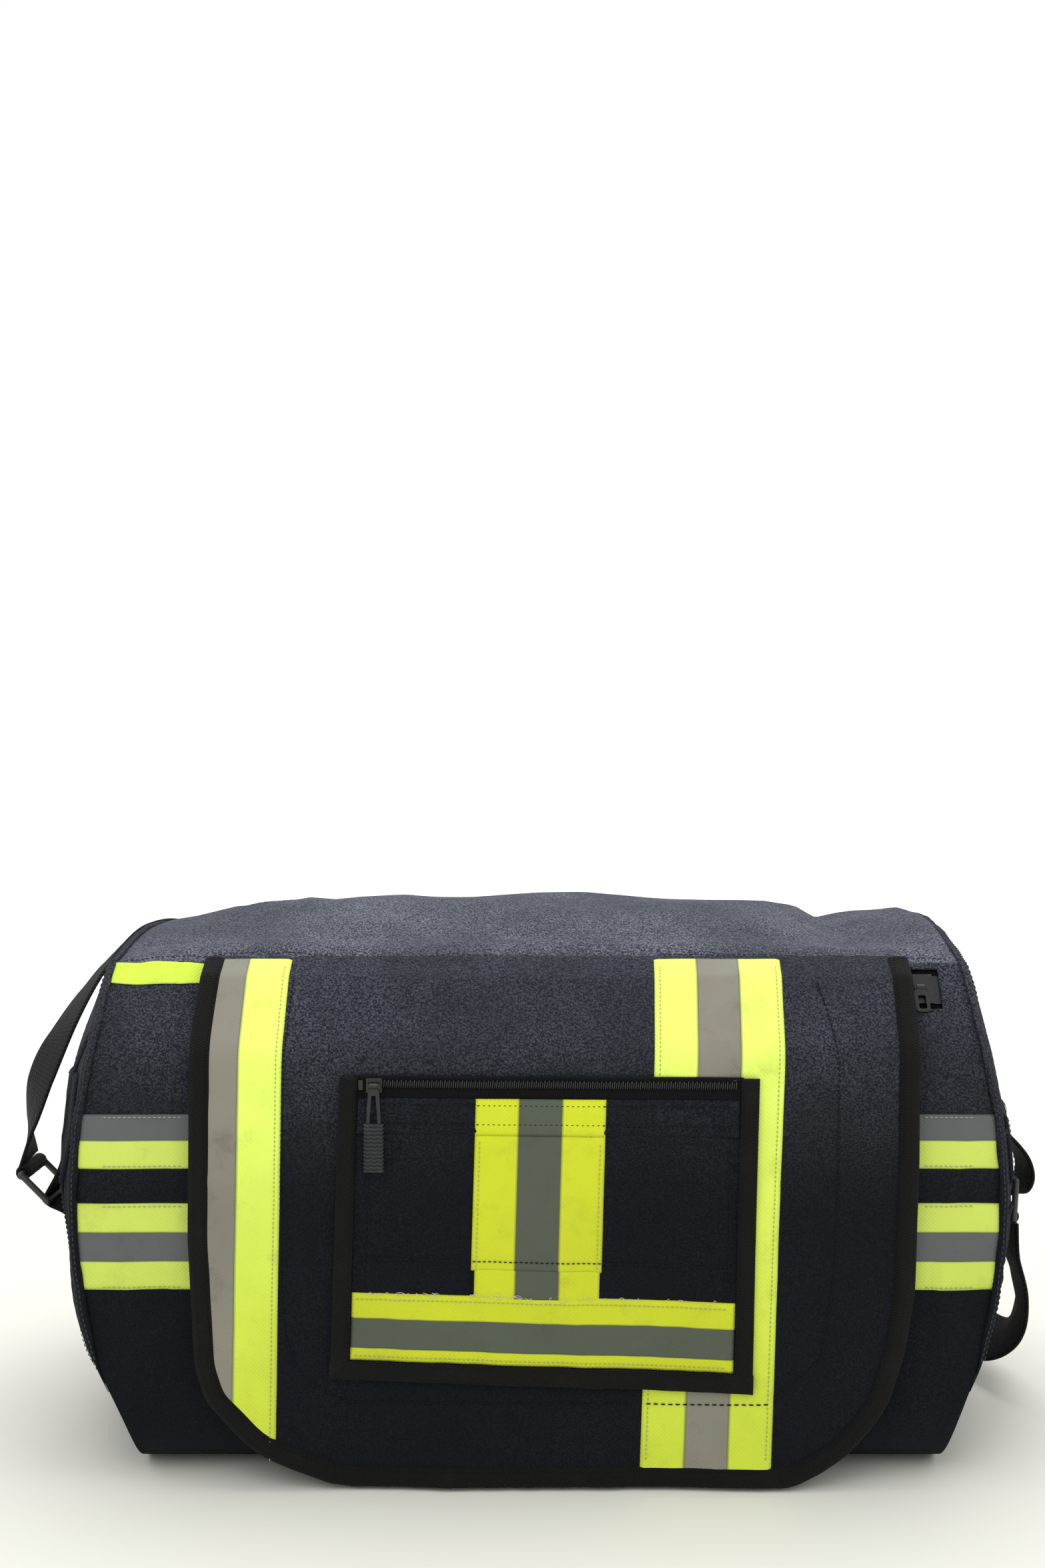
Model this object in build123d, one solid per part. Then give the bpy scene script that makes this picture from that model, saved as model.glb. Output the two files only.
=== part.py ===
from build123d import *
import math
import os

# Barrel-shaped holdall sewn from turnout-coat cloth.
# X runs along the bag, the flap and zips face -Y, +Z is up.
# The origin is the middle of the flat base, on the surface that it stands on.

# ---- bag body ----
BAG_HEIGHT = 337.0           # base to ridge
BAG_HALF_LENGTH = 301.0      # middle of the bag to the crown of a domed end
END_DOME_RADIUS = 360.0      # both ends are parts of one size of sphere
END_DOME_HEIGHT = 165.0      # centre of the end spheres above the base
WALL = 3.0                   # cloth, interlining and lining together
BASE_HALF_DEPTH = 124.0      # corner of the base before it is rounded
BASE_CORNER_RADIUS = 55.0
BELLY_HALF_DEPTH = 142.0     # widest part of the section
LOW_BELLY_HEIGHT = 95.0      # where the side turns upright
SHOULDER_HALF_DEPTH = 139.0
SHOULDER_HEIGHT = 252.0      # where the side leans back to the seam
LOW_BELLY_RADIUS = 400.0
SHOULDER_RADIUS = 75.0
SEAM_HALF_DEPTH = 110.0      # top seam, between top panel and front panel
SEAM_HEIGHT = 299.0
LOW_SEAM_HALF_DEPTH = 112.0  # base seam, on the rounded lower corner
LOW_SEAM_HEIGHT = 14.0
BOARD_THICKNESS = 3.0
BOARD_MARGIN = 6.0           # board edge to the start of the rounded corner
BOARD_HALF_LENGTH = 236.0
WELT_WIDTH = 9.0             # double-stitched seam round each end
WELT_RISE = 1.6
PATCH_RISE = 1.2             # cloth patch on an end panel
PATCH_DEPTH = (-112.0, -46.0)
POCKET_PATCH_HEIGHT = (40.0, 232.0)
END_TRIM_HEIGHT = (167.0, 208.0)

# ---- trims: reflective middle between two lime edges ----
TRIM_THICKNESS = 0.8
NARROW_TRIM = 50.0
WIDE_TRIM = 75.0
FRONT_TRIM_UPPER_TOP = 214.0
FRONT_TRIM_UPPER_WIDTH = 31.5    # its top edge is lost in a seam
FRONT_TRIM_LOWER_TOP = 162.5
CORNER_TRIM = (-246.0, -199.0)   # start and end along the bag
CORNER_TRIM_WIDTH = 10.5

# ---- main zip, in the leaning cloth just under the top seam ----
MOUTH_TOP = 4.0              # seam to the cut edge, along the cloth
MOUTH_WIDTH = 26.0           # between the two cut edges of the cloth
MOUTH_LEFT = -196.0
MOUTH_RIGHT = 240.0
ZIP_GAPE = 9.0               # free gap between the two open coils
COIL_WIDTH = 4.5
COIL_THICKNESS = 3.0
TAPE_THICKNESS = 1.2
TAPE_HOLD_UPPER = 2.0        # how far each tape runs on behind the cloth
TAPE_HOLD_LOWER = 4.0
TAPE_HOLD_END = 6.0
STOP_LENGTH = 4.0
STOP_MARGIN = 0.5            # stop to the end of the mouth
MAIN_SLIDER_X = 227.0

# ---- sliders and pullers ----
SLIDER_LENGTH = 16.0
SLIDER_PLATE = 1.5
SLIDER_CLEARANCE = 0.4       # slider to coil
CROWN_PIN_RADIUS = 0.8
CROWN_POST = 1.2
CROWN_POST_DEPTH = 3.0
PIN_CLEARANCE = 0.12         # puller's eye on the crown pin
KNUCKLE_WALL = 0.8
KNUCKLE_WIDTH = 4.4
KNUCKLE_SIDE_CLEARANCE = 0.3
KNUCKLE_LIFT = 0.4           # eye to the slider's plate
PULLER_THICKNESS = 1.4
PULLER_RIM = 1.9
MAIN_PULLER_LENGTH = 16.0
MAIN_PULLER_WIDTH = 8.4

# ---- flap ----
FLAP_WIDTH = 420.0
FLAP_X = 9.0                 # middle of the flap, right of the bag's middle
FLAP_GAP = 6.0               # front panel to the back of the flap
FLAP_FACE = 1.8
FLAP_LINING = 1.2
FLAP_BOTTOM = 2.0            # lower edge above the base plane
FLAP_CORNER = 108.0
FLAP_TURN = 14.0             # below the seam, where the flap comes parallel
FLAP_TURN_RADIUS = 20.0
FLAP_SHOULDER_RADIUS = 30.0
FLAP_FACE_START = 1.0        # face and lining begin this far from the hinge line
FLAP_LINING_START = 5.0
HINGE_UP = 1.2               # hinge line above the seam, along the leaning cloth
HINGE_OUT = 2.6              # hinge line out from the leaning cloth
HINGE_CORD_RADIUS = 1.8
BINDING_WIDTH = 12.0
BINDING_WALL = 0.7
BINDING_CORE = 2.0           # cloth edge to the fold of the binding
TRIM_RIGHT_X = 69.0          # left edge of the right-hand trim
TRIM_LEFT_X = -149.0         # right edge of the left-hand trim

# ---- pocket on the flap ----
POCKET_LEFT = -117.0
POCKET_WIDTH = 242.0
POCKET_BOTTOM = 60.0
POCKET_HEIGHT = 178.0
POCKET_BINDING = 10.5
POCKET_BINDING_RISE = 3.4
POCKET_LIFT = 1.0            # pocket panel clear of the flap's own trim
POCKET_PANEL = 1.0
POCKET_LAYER = 0.7           # each further layer of coat cloth or trim
POCKET_TAPE_UPPER = 1.6
POCKET_TAPE_LOWER = 5.4
POCKET_COIL_WIDTH = 5.6
POCKET_COIL_THICKNESS = 2.2
POCKET_STOP_LENGTH = 2.5
POCKET_COIL_LEFT_MARGIN = 6.0
POCKET_STRIP_HEIGHT = 21.0
POCKET_TRIM_X = -38.0        # left edge of the vertical trim
POCKET_CLOTH_DROP = 100.0    # coat pocket's hem below the zip
POCKET_CLOTH_LEFT_INSET = 19.0   # coat pocket's side edges inside the pocket's own
POCKET_CLOTH_RIGHT_INSET = 16.0
POCKET_FACING_DROP = 13.0     # facing seen below that hem
POCKET_LOW_TRIM = 40.0       # the horizontal trim, its lower edge under the binding
POCKET_SLIDER_X = -94.0
POCKET_SLIDER_LENGTH = 9.0
POCKET_SLIDER_FLANGE = 0.9
POCKET_SLIDER_PLATE = 1.2
POCKET_PULLER_LENGTH = 25.0
POCKET_PULLER_WIDTH = 8.8
TAB_LENGTH = 28.0
TAB_WIDTH = 11.5
TAB_THICKNESS = 3.0

# ---- strap, rings and anchors ----
STRAP_DEPTH = -20.0          # middle of the webbing at both ends, on Y
WEBBING_WIDTH = 38.0
WEBBING = 2.2
RING_RADIUS = 2.0            # radius of the ring's round bar
RING_INSIDE_WIDTH = 42.0
RING_INSIDE_LENGTH = 20.0
LOOP_CLEARANCE = 0.6
LEFT_RING_OUT = 12.0         # inner bar past the crown of the bag's end
RIGHT_RING_OUT = 6.0
LEFT_RING = (-BAG_HALF_LENGTH - LEFT_RING_OUT, 139.0)  # inner bar, as x and height
LEFT_RING_ANGLE = 135.0      # direction to the outer bar, from +X towards +Z
RIGHT_RING = (BAG_HALF_LENGTH + RIGHT_RING_OUT, 152.0)
RIGHT_RING_ANGLE = 266.4
LEFT_ANCHOR_HEIGHTS = (126.0, 192.0)
RIGHT_ANCHOR_HEIGHTS = (131.0, 186.0)
ANCHOR_ROOT = 12.0           # legs start this far inside the dome, then are cut to it

# middle of the webbing and the way its outer face looks, from left ring to right ring;
# beside an end, x is the distance past that end's crown
STRAP_LEFT = [
    ((31, -20, 161), (-1, 0, 0)),
    ((32, -20, 186), (-1, 0, 0)),
    ((26, -17, 214), (-1, 0, 0.25)),
    ((12, -6, 245), (-1, 0, 0.55)),
    ((-4, 22, 276), (-0.8, 0.1, 0.8)),
    ((-17, 72, 296), (-0.6, 0.45, 0.7)),
    ((-39, 128, 286), (-0.45, 0.9, 0.3)),
    ((-79, 158, 250), (-0.1, 1, 0)),
]
STRAP_BACK = [
    ((-150, 166, 196), (0, 1, 0)),
    ((-60, 168, 140), (0, 1, 0)),
    ((40, 168, 96), (0, 1, 0)),
    ((140, 166, 68), (0, 1, 0)),
]
STRAP_RIGHT = [
    ((-83, 158, 52), (0.2, 1, -0.1)),
    ((-33, 130, 40), (0.6, 0.75, -0.5)),
    ((-3, 86, 34), (0.6, 0.3, -0.9)),
    ((10, 38, 37), (0.75, 0.05, -0.8)),
    ((15, 2, 52), (1, 0, -0.35)),
    ((14, -15, 78), (1, 0, 0)),
    ((9, -20, 102), (1, 0, 0)),
    ((8, -20, 123), (1, 0, 0)),
]
STRAP_ROUTE = [((-BAG_HALF_LENGTH - x, y, z), face) for (x, y, z), face in STRAP_LEFT]
STRAP_ROUTE += STRAP_BACK
STRAP_ROUTE += [((BAG_HALF_LENGTH + x, y, z), face) for (x, y, z), face in STRAP_RIGHT]

REACH = 400.0                # half length of working solids, past the whole bag
FAR = 900.0
CORE_HEIGHT = 150.0          # seams lie on lines through this point of the section


def slab(plane, x_span, y_span, z_span):
    """A box given by its limits along a plane's own x, y and normal."""
    spans = (x_span, y_span, z_span)
    size = [high - low for low, high in spans]
    middle = [(low + high) / 2 for low, high in spans]
    return plane * Pos(*middle) * Box(*size)


def block(x_span, y_span, z_span):
    """A box given by its limits along the bag's axes."""
    return slab(Plane.XY, x_span, y_span, z_span)


def rod(plane, centre, radius, length):
    """A round rod along a plane's x, about a point given as (x, y, z) on the plane."""
    return plane * Pos(*centre) * Rot(0, 90, 0) * Cylinder(radius, length)


def save(node, *shapes):
    """Write one node's solids to its STEP file."""
    solids = [solid for shape in shapes for solid in shape.solids()]
    whole = solids[0] if len(solids) == 1 else Compound(children=solids)
    export_step(whole, f"parts/{node}.step")


# ------------------------------------------------------------ bag shell
def side_line(side):
    """Half of the bag's section, from the base's middle up to the top seam."""
    return FilletPolyline(
        (0, 0),
        (side * BASE_HALF_DEPTH, 0),
        (side * BELLY_HALF_DEPTH, LOW_BELLY_HEIGHT),
        (side * SHOULDER_HALF_DEPTH, SHOULDER_HEIGHT),
        (side * SEAM_HALF_DEPTH, SEAM_HEIGHT),
        radius=[BASE_CORNER_RADIUS, LOW_BELLY_RADIUS, SHOULDER_RADIUS],
    )


def bag_section(inset):
    """The section of the bag, drawn in by inset all round."""
    crown = ThreePointArc(
        (-SEAM_HALF_DEPTH, SEAM_HEIGHT), (0, BAG_HEIGHT), (SEAM_HALF_DEPTH, SEAM_HEIGHT)
    )
    face = make_face(side_line(-1).edges() + crown.edges() + side_line(1).edges())
    if inset:
        face = offset(face, amount=-inset, kind=Kind.INTERSECTION)
    return face


def bag_bar(inset):
    """The section carried straight along the bag, well past both ends."""
    return extrude(Plane.YZ * bag_section(inset), amount=REACH, both=True)


def end_ball(side, inset=0.0, shift=0.0):
    """The ball whose surface is one domed end, drawn in by inset, moved in by shift."""
    centre = side * (BAG_HALF_LENGTH - END_DOME_RADIUS - shift)
    return Pos(centre, 0, END_DOME_HEIGHT) * Sphere(END_DOME_RADIUS - inset)


def half_space(side):
    """Everything on one side of the bag's middle, along X."""
    x_span = (0, REACH) if side > 0 else (-REACH, 0)
    return block(x_span, (-REACH, REACH), (-REACH, 2 * REACH))


def wedge(corners):
    """A prism along X over a polygon in the bag's section."""
    return extrude(Plane.YZ * make_face(Polyline(*corners, close=True)), amount=REACH, both=True)


def beyond(half_depth, height):
    """A point far outside the section, on the line from its core through a seam."""
    rise = height - CORE_HEIGHT
    scale = FAR / math.hypot(half_depth, rise)
    return (half_depth * scale, CORE_HEIGHT + rise * scale)


core = (0, CORE_HEIGHT)
high_back = beyond(SEAM_HALF_DEPTH, SEAM_HEIGHT)
low_back = beyond(LOW_SEAM_HALF_DEPTH, LOW_SEAM_HEIGHT)
high_front = (-high_back[0], high_back[1])
low_front = (-low_back[0], low_back[1])

outer_bar = bag_bar(0)
lined_bar = bag_bar(WALL)
trim_bar = bag_bar(-TRIM_THICKNESS)
right_ball = end_ball(1)
left_ball = end_ball(-1)
tube = (outer_bar - lined_bar) & right_ball & left_ball
top_panel = tube & wedge([core, high_front, high_back])
base_panel = tube & wedge([core, low_back, low_front])
back_panel = tube & wedge([core, high_back, (FAR, CORE_HEIGHT), low_back])
front_whole = tube & wedge([core, low_front, (-FAR, CORE_HEIGHT), high_front])


def end_panel(side):
    """A domed end, standing inside the mouth of the tube."""
    return (lined_bar & half_space(side) & end_ball(side)) - end_ball(side, WALL)


def end_welt(side):
    """A raised band on the tube beside one end seam, down to the rounded base corner."""
    above = block((-REACH, REACH), (-REACH, REACH), (BASE_CORNER_RADIUS, 2 * REACH))
    ring = (bag_bar(-WELT_RISE) - outer_bar) & half_space(side) & above
    return (ring & end_ball(side)) - end_ball(side, shift=WELT_WIDTH)


def end_patch(side, rise, height_span):
    """A patch of cloth on the front half of an end panel."""
    area = block((-REACH, REACH), PATCH_DEPTH, height_span) & half_space(side)
    return (end_ball(side, -rise) - end_ball(side)) & area


first_turn = math.atan2(LOW_BELLY_HEIGHT, BELLY_HALF_DEPTH - BASE_HALF_DEPTH)
flat_half_depth = BASE_HALF_DEPTH - BASE_CORNER_RADIUS * math.tan(first_turn / 2)
board_half_depth = flat_half_depth - BOARD_MARGIN
base_board = block(
    (-BOARD_HALF_LENGTH, BOARD_HALF_LENGTH),
    (-board_half_depth, board_half_depth),
    (WALL, WALL + BOARD_THICKNESS),
)


def front_trim(top, width):
    """A trim across the front panel, between the two end welts."""
    band = block((-REACH, REACH), (-REACH, 0), (top - width, top))
    skin = (trim_bar - outer_bar) & band
    return skin & end_ball(1, shift=WELT_WIDTH) & end_ball(-1, shift=WELT_WIDTH)


# ------------------------------------------------------------ main zip
lean = math.atan2(SHOULDER_HALF_DEPTH - SEAM_HALF_DEPTH, SEAM_HEIGHT - SHOULDER_HEIGHT)
lean_sin = math.sin(lean)
lean_cos = math.cos(lean)
# on the leaning front: x along the bag, y up the cloth from the seam, z outwards
front = Plane(
    origin=(0, -SEAM_HALF_DEPTH, SEAM_HEIGHT), x_dir=(1, 0, 0), z_dir=(0, -lean_cos, lean_sin)
)
mouth_low = -(MOUTH_TOP + MOUTH_WIDTH)
mouth_mid = -(MOUTH_TOP + MOUTH_WIDTH / 2)
mouth_cut = slab(
    front, (MOUTH_LEFT, MOUTH_RIGHT), (mouth_low, -MOUTH_TOP), (-4 * WALL, 4 * WALL)
)
front_panel = front_whole - mouth_cut
tape_span = (-WALL - TAPE_THICKNESS, -WALL)
tape_middle = sum(tape_span) / 2
coil_span = (tape_middle - COIL_THICKNESS / 2, tape_middle + COIL_THICKNESS / 2)
coil_left = MOUTH_LEFT + STOP_MARGIN + STOP_LENGTH
coil_right = MOUTH_RIGHT - STOP_MARGIN - STOP_LENGTH


def zip_coil(side):
    """One coil of the open main zip; side 1 is the upper one."""
    near = mouth_mid + side * ZIP_GAPE / 2
    edges = sorted((near, near + side * COIL_WIDTH))
    coil = slab(front, (coil_left, coil_right), edges, coil_span)
    return fillet(coil.edges().filter_by(Axis.X), COIL_WIDTH / 4)


def zip_tape(side, hold):
    """The tape that holds one coil, running on behind the cloth by hold."""
    near = mouth_mid + side * (ZIP_GAPE / 2 + COIL_WIDTH)
    edges = sorted((near, mouth_mid + side * (MOUTH_WIDTH / 2 + hold)))
    x_span = (MOUTH_LEFT - TAPE_HOLD_END, MOUTH_RIGHT + TAPE_HOLD_END)
    return slab(front, x_span, edges, tape_span)


def zip_stop(x_span):
    """A stop that bridges both coils at one end of the mouth."""
    half = ZIP_GAPE / 2 + COIL_WIDTH
    return slab(front, x_span, (mouth_mid - half, mouth_mid + half), coil_span)


def crown(plane, x, y, plate_top):
    """The two posts and the pin on a slider that its puller swings on, and the pin's height."""
    pin_height = plate_top + KNUCKLE_LIFT + KNUCKLE_WALL + PIN_CLEARANCE + CROWN_PIN_RADIUS
    inner = KNUCKLE_WIDTH / 2 + KNUCKLE_SIDE_CLEARANCE
    y_span = (y - CROWN_POST_DEPTH / 2, y + CROWN_POST_DEPTH / 2)
    z_span = (plate_top, pin_height + CROWN_PIN_RADIUS + PIN_CLEARANCE)
    pin = rod(plane, (x, y, pin_height), CROWN_PIN_RADIUS, 2 * inner + CROWN_POST)
    for side in (-1, 1):
        x_span = sorted((x + side * inner, x + side * (inner + CROWN_POST)))
        pin += slab(plane, x_span, y_span, z_span)
    return pin, pin_height


def puller(plane, x, y, pin_height, length, top_width, low_width):
    """A flat frame, wider below, that hangs from its eye on a crown's pin."""
    def outline(inset):
        top = y - KNUCKLE_WALL - CROWN_PIN_RADIUS - (2 * inset if inset else 0)
        bottom = y - length + inset
        half_top = top_width / 2 - inset
        half_low = low_width / 2 - inset
        frame = Polyline((x - half_top, top), (x - half_low, bottom),
                         (x + half_low, bottom), (x + half_top, top), close=True)
        return fillet(make_face(frame).vertices(), half_top / 2)

    plate_plane = plane.offset(pin_height - PULLER_THICKNESS / 2)
    frame = extrude(plate_plane * (outline(0) - outline(PULLER_RIM)), amount=PULLER_THICKNESS)
    neck_half = KNUCKLE_WIDTH / 2
    neck_span = (y - KNUCKLE_WALL - CROWN_PIN_RADIUS - PULLER_RIM, y)
    z_span = (pin_height - PULLER_THICKNESS / 2, pin_height + PULLER_THICKNESS / 2)
    frame += slab(plane, (x - neck_half, x + neck_half), neck_span, z_span)
    eye_radius = CROWN_PIN_RADIUS + PIN_CLEARANCE
    frame += rod(plane, (x, y, pin_height), eye_radius + KNUCKLE_WALL, KNUCKLE_WIDTH)
    return frame - rod(plane, (x, y, pin_height), eye_radius, KNUCKLE_WIDTH * 2)


slider_half = ZIP_GAPE / 2 + COIL_WIDTH + SLIDER_CLEARANCE
slider_x = (MAIN_SLIDER_X - SLIDER_LENGTH / 2, MAIN_SLIDER_X + SLIDER_LENGTH / 2)
slider_y = (mouth_mid - slider_half, mouth_mid + slider_half)
plate_low = coil_span[1] + SLIDER_CLEARANCE
plate_top = plate_low + SLIDER_PLATE
inner_top = coil_span[0] - SLIDER_CLEARANCE
post_half = ZIP_GAPE / 2 - SLIDER_CLEARANCE
main_crown, main_pin_height = crown(front, MAIN_SLIDER_X, mouth_mid, plate_top)
main_slider = (
    slab(front, slider_x, slider_y, (plate_low, plate_top))
    + slab(front, slider_x, slider_y, (inner_top - SLIDER_PLATE, inner_top))
    + slab(front, (MAIN_SLIDER_X - SLIDER_LENGTH / 4, MAIN_SLIDER_X + SLIDER_LENGTH / 4),
           (mouth_mid - post_half, mouth_mid + post_half), (inner_top, plate_low))
    + main_crown
)
main_puller = puller(front, MAIN_SLIDER_X, mouth_mid, main_pin_height,
                     MAIN_PULLER_LENGTH, MAIN_PULLER_WIDTH, MAIN_PULLER_WIDTH)

# ------------------------------------------------------------ flap
flap_thickness = FLAP_FACE + FLAP_LINING
flap_left = FLAP_X - FLAP_WIDTH / 2
flap_right = FLAP_X + FLAP_WIDTH / 2
upright = -(BELLY_HALF_DEPTH + FLAP_GAP)    # back of the flap where it hangs straight


def on_front(up, out):
    """A point of the section, given up the leaning cloth from the seam and out from it."""
    return (
        -SEAM_HALF_DEPTH + lean_sin * up - lean_cos * out,
        SEAM_HEIGHT + lean_cos * up + lean_sin * out,
    )


hinge_point = on_front(HINGE_UP, HINGE_OUT)


def flap_line(rise, start):
    """The flap's side view, rise out from its back, from start below the hinge line."""
    turn_out = FLAP_GAP + rise
    hinge_out = HINGE_OUT - flap_thickness / 2 + rise
    share = start / (HINGE_UP + FLAP_TURN)
    first_out = hinge_out + (turn_out - hinge_out) * share
    hang = upright - rise
    down = (-SEAM_HALF_DEPTH - lean_cos * turn_out - hang) / lean_sin
    return FilletPolyline(
        on_front(HINGE_UP - start, first_out),
        on_front(-FLAP_TURN, turn_out),
        on_front(-down, turn_out),
        (hang, FLAP_BOTTOM),
        radius=[FLAP_TURN_RADIUS + rise, FLAP_SHOULDER_RADIUS + rise],
    )


def flap_layer(low, high, start, inset):
    """One layer of the flap between two rises, drawn in by inset from its cut edges."""
    near = flap_line(low, start)
    far = flap_line(high, start)
    ends = Line(near @ 0, far @ 0) + Line(near @ 1, far @ 1)
    face = make_face(near.edges() + far.edges() + ends.edges())
    return extrude(Plane.YZ * face, amount=REACH, both=True) & flap_outline(inset)


def flap_outline(inset):
    """A prism over the flap's front view: straight sides and round lower corners."""
    plane = Plane.XZ * Pos(FLAP_X, 0)
    top = BAG_HEIGHT
    bottom = FLAP_BOTTOM + inset
    half = FLAP_WIDTH / 2 - inset
    shape = Polyline((-half, top), (-half, bottom), (half, bottom), (half, top), close=True)
    face = make_face(shape)
    low_corners = face.vertices().sort_by(Axis.Y)[:2]
    face = fillet(low_corners, FLAP_CORNER - inset)
    return extrude(plane * face, amount=REACH, both=True)


def across(x_span):
    """Everything between two places along the bag."""
    return block(x_span, (-REACH, REACH), (-REACH, 2 * REACH))


hinge_length = FLAP_WIDTH - 2 * BINDING_CORE
hinge_cord = Pos(FLAP_X, *hinge_point) * Rot(0, 90, 0) * Cylinder(HINGE_CORD_RADIUS, hinge_length)
flap_lining = flap_layer(0, FLAP_LINING, FLAP_LINING_START, BINDING_CORE)
flap_face = flap_layer(FLAP_LINING, flap_thickness, FLAP_FACE_START, BINDING_CORE) + hinge_cord
binding_fill = flap_layer(-BINDING_WALL, flap_thickness + BINDING_WALL, FLAP_LINING_START, 0)
flap_core = flap_layer(0, flap_thickness, 0, BINDING_CORE)
flap_binding = (binding_fill - flap_outline(BINDING_WIDTH)) - flap_core
trim_layer = flap_layer(
    flap_thickness, flap_thickness + TRIM_THICKNESS, FLAP_LINING_START, BINDING_WIDTH
)
flap_trim_right = trim_layer & across((TRIM_RIGHT_X, TRIM_RIGHT_X + WIDE_TRIM))
flap_trim_left = trim_layer & across((TRIM_LEFT_X - WIDE_TRIM, TRIM_LEFT_X))

# ------------------------------------------------------------ pocket
# on the flap where it hangs straight: x along the bag, y up, z outwards
board = Plane(origin=(0, upright - flap_thickness, 0), x_dir=(1, 0, 0), z_dir=(0, -1, 0))
pocket_right = POCKET_LEFT + POCKET_WIDTH
pocket_top = POCKET_BOTTOM + POCKET_HEIGHT
inside_x = (POCKET_LEFT + POCKET_BINDING, pocket_right - POCKET_BINDING)
panel_span = (POCKET_LIFT, POCKET_LIFT + POCKET_PANEL)
layer_1 = (panel_span[1], panel_span[1] + POCKET_LAYER)
layer_2 = (layer_1[1], layer_1[1] + POCKET_LAYER)
coil_top = pocket_top - POCKET_TAPE_UPPER
coil_low = coil_top - POCKET_COIL_WIDTH
coil_mid = (coil_top + coil_low) / 2
panel_top = coil_low - POCKET_TAPE_LOWER
panel_low = POCKET_BOTTOM + POCKET_BINDING
cloth_low = panel_top - POCKET_CLOTH_DROP
facing_low = cloth_low - POCKET_FACING_DROP
trim_top = panel_low + POCKET_LOW_TRIM
strip_low = panel_top - POCKET_STRIP_HEIGHT
trim_x = (POCKET_TRIM_X, POCKET_TRIM_X + WIDE_TRIM)

binding_frame = slab(board, (POCKET_LEFT, pocket_right), (POCKET_BOTTOM, pocket_top),
                     (0, POCKET_BINDING_RISE))
binding_hole = slab(board, inside_x, (panel_low, pocket_top + POCKET_BINDING),
                    (-POCKET_LIFT, 2 * POCKET_BINDING_RISE))
pocket_binding = (binding_frame - binding_hole) - flap_trim_right
pocket_panel = slab(board, inside_x, (panel_low, panel_top), panel_span)
low_trim = slab(board, inside_x, (panel_low, trim_top), layer_1)
facing = slab(board, trim_x, (facing_low, cloth_low), layer_1)
trim_strip = slab(board, trim_x, (cloth_low, strip_low), layer_1)
cloth_x = (POCKET_LEFT + POCKET_CLOTH_LEFT_INSET, pocket_right - POCKET_CLOTH_RIGHT_INSET)
cloth_left = slab(board, (cloth_x[0], trim_x[0]), (cloth_low, strip_low), layer_1)
cloth_right = slab(board, (trim_x[1], cloth_x[1]), (cloth_low, strip_low), layer_1)
top_strip = slab(board, inside_x, (strip_low, panel_top), layer_1)
strip_trim = slab(board, trim_x, (strip_low, panel_top), layer_2)

coil_z = (POCKET_LIFT, POCKET_LIFT + POCKET_COIL_THICKNESS)
coil_x = (inside_x[0] + POCKET_COIL_LEFT_MARGIN, inside_x[1] - POCKET_STOP_LENGTH)
pocket_coil = slab(board, coil_x, (coil_low, coil_top), coil_z)
pocket_coil = fillet(pocket_coil.edges().filter_by(Axis.X), POCKET_COIL_THICKNESS / 3)
upper_tape = slab(board, inside_x, (coil_top, pocket_top), panel_span)
lower_tape = slab(board, inside_x, (panel_top, coil_low), panel_span)
left_stop = slab(board, (coil_x[0] - POCKET_STOP_LENGTH, coil_x[0]), (coil_low, coil_top), coil_z)
right_stop = slab(board, (coil_x[1], inside_x[1]), (coil_low, coil_top), coil_z)

slider_span = (POCKET_SLIDER_X - POCKET_SLIDER_LENGTH / 2,
               POCKET_SLIDER_X + POCKET_SLIDER_LENGTH / 2)
slider_low = coil_z[1] + SLIDER_CLEARANCE
slider_top = slider_low + POCKET_SLIDER_PLATE
channel = POCKET_COIL_WIDTH / 2 + SLIDER_CLEARANCE
slider_edge = channel + POCKET_SLIDER_FLANGE
flange_low = panel_span[1] + SLIDER_CLEARANCE
pocket_crown, pocket_pin = crown(board, POCKET_SLIDER_X, coil_mid, slider_top)
pocket_slider = (
    slab(board, slider_span, (coil_mid - slider_edge, coil_mid + slider_edge),
         (flange_low, slider_top))
    - slab(board, (slider_span[0] - 1, slider_span[1] + 1),
           (coil_mid - channel, coil_mid + channel), (flange_low - 1, slider_low))
    + pocket_crown
)
pocket_puller = puller(board, POCKET_SLIDER_X, coil_mid, pocket_pin,
                       POCKET_PULLER_LENGTH, 0.7 * POCKET_PULLER_WIDTH, POCKET_PULLER_WIDTH)
tab_top = coil_mid - POCKET_PULLER_LENGTH + 2 * PULLER_RIM
tab_span = (pocket_pin - TAB_THICKNESS / 2, pocket_pin + TAB_THICKNESS / 2)
tab_x = (POCKET_SLIDER_X - TAB_WIDTH / 2, POCKET_SLIDER_X + TAB_WIDTH / 2)
puller_tab = slab(board, tab_x, (tab_top - TAB_LENGTH, tab_top), tab_span) - pocket_puller

# ------------------------------------------------------------ rings, anchors, strap
section = Plane(origin=(0, STRAP_DEPTH, 0), x_dir=(1, 0, 0), z_dir=(0, -1, 0))
bar_distance = RING_INSIDE_LENGTH + 2 * RING_RADIUS
half_bar = RING_INSIDE_WIDTH / 2 + RING_RADIUS
fold_inside = RING_RADIUS + LOOP_CLEARANCE
fold_outside = fold_inside + WEBBING


def outer_bar_of(inner, angle):
    """Where a ring's outer bar lies, from its inner bar and its lean."""
    turn = math.radians(angle)
    return (inner[0] + bar_distance * math.cos(turn), inner[1] + bar_distance * math.sin(turn))


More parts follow.
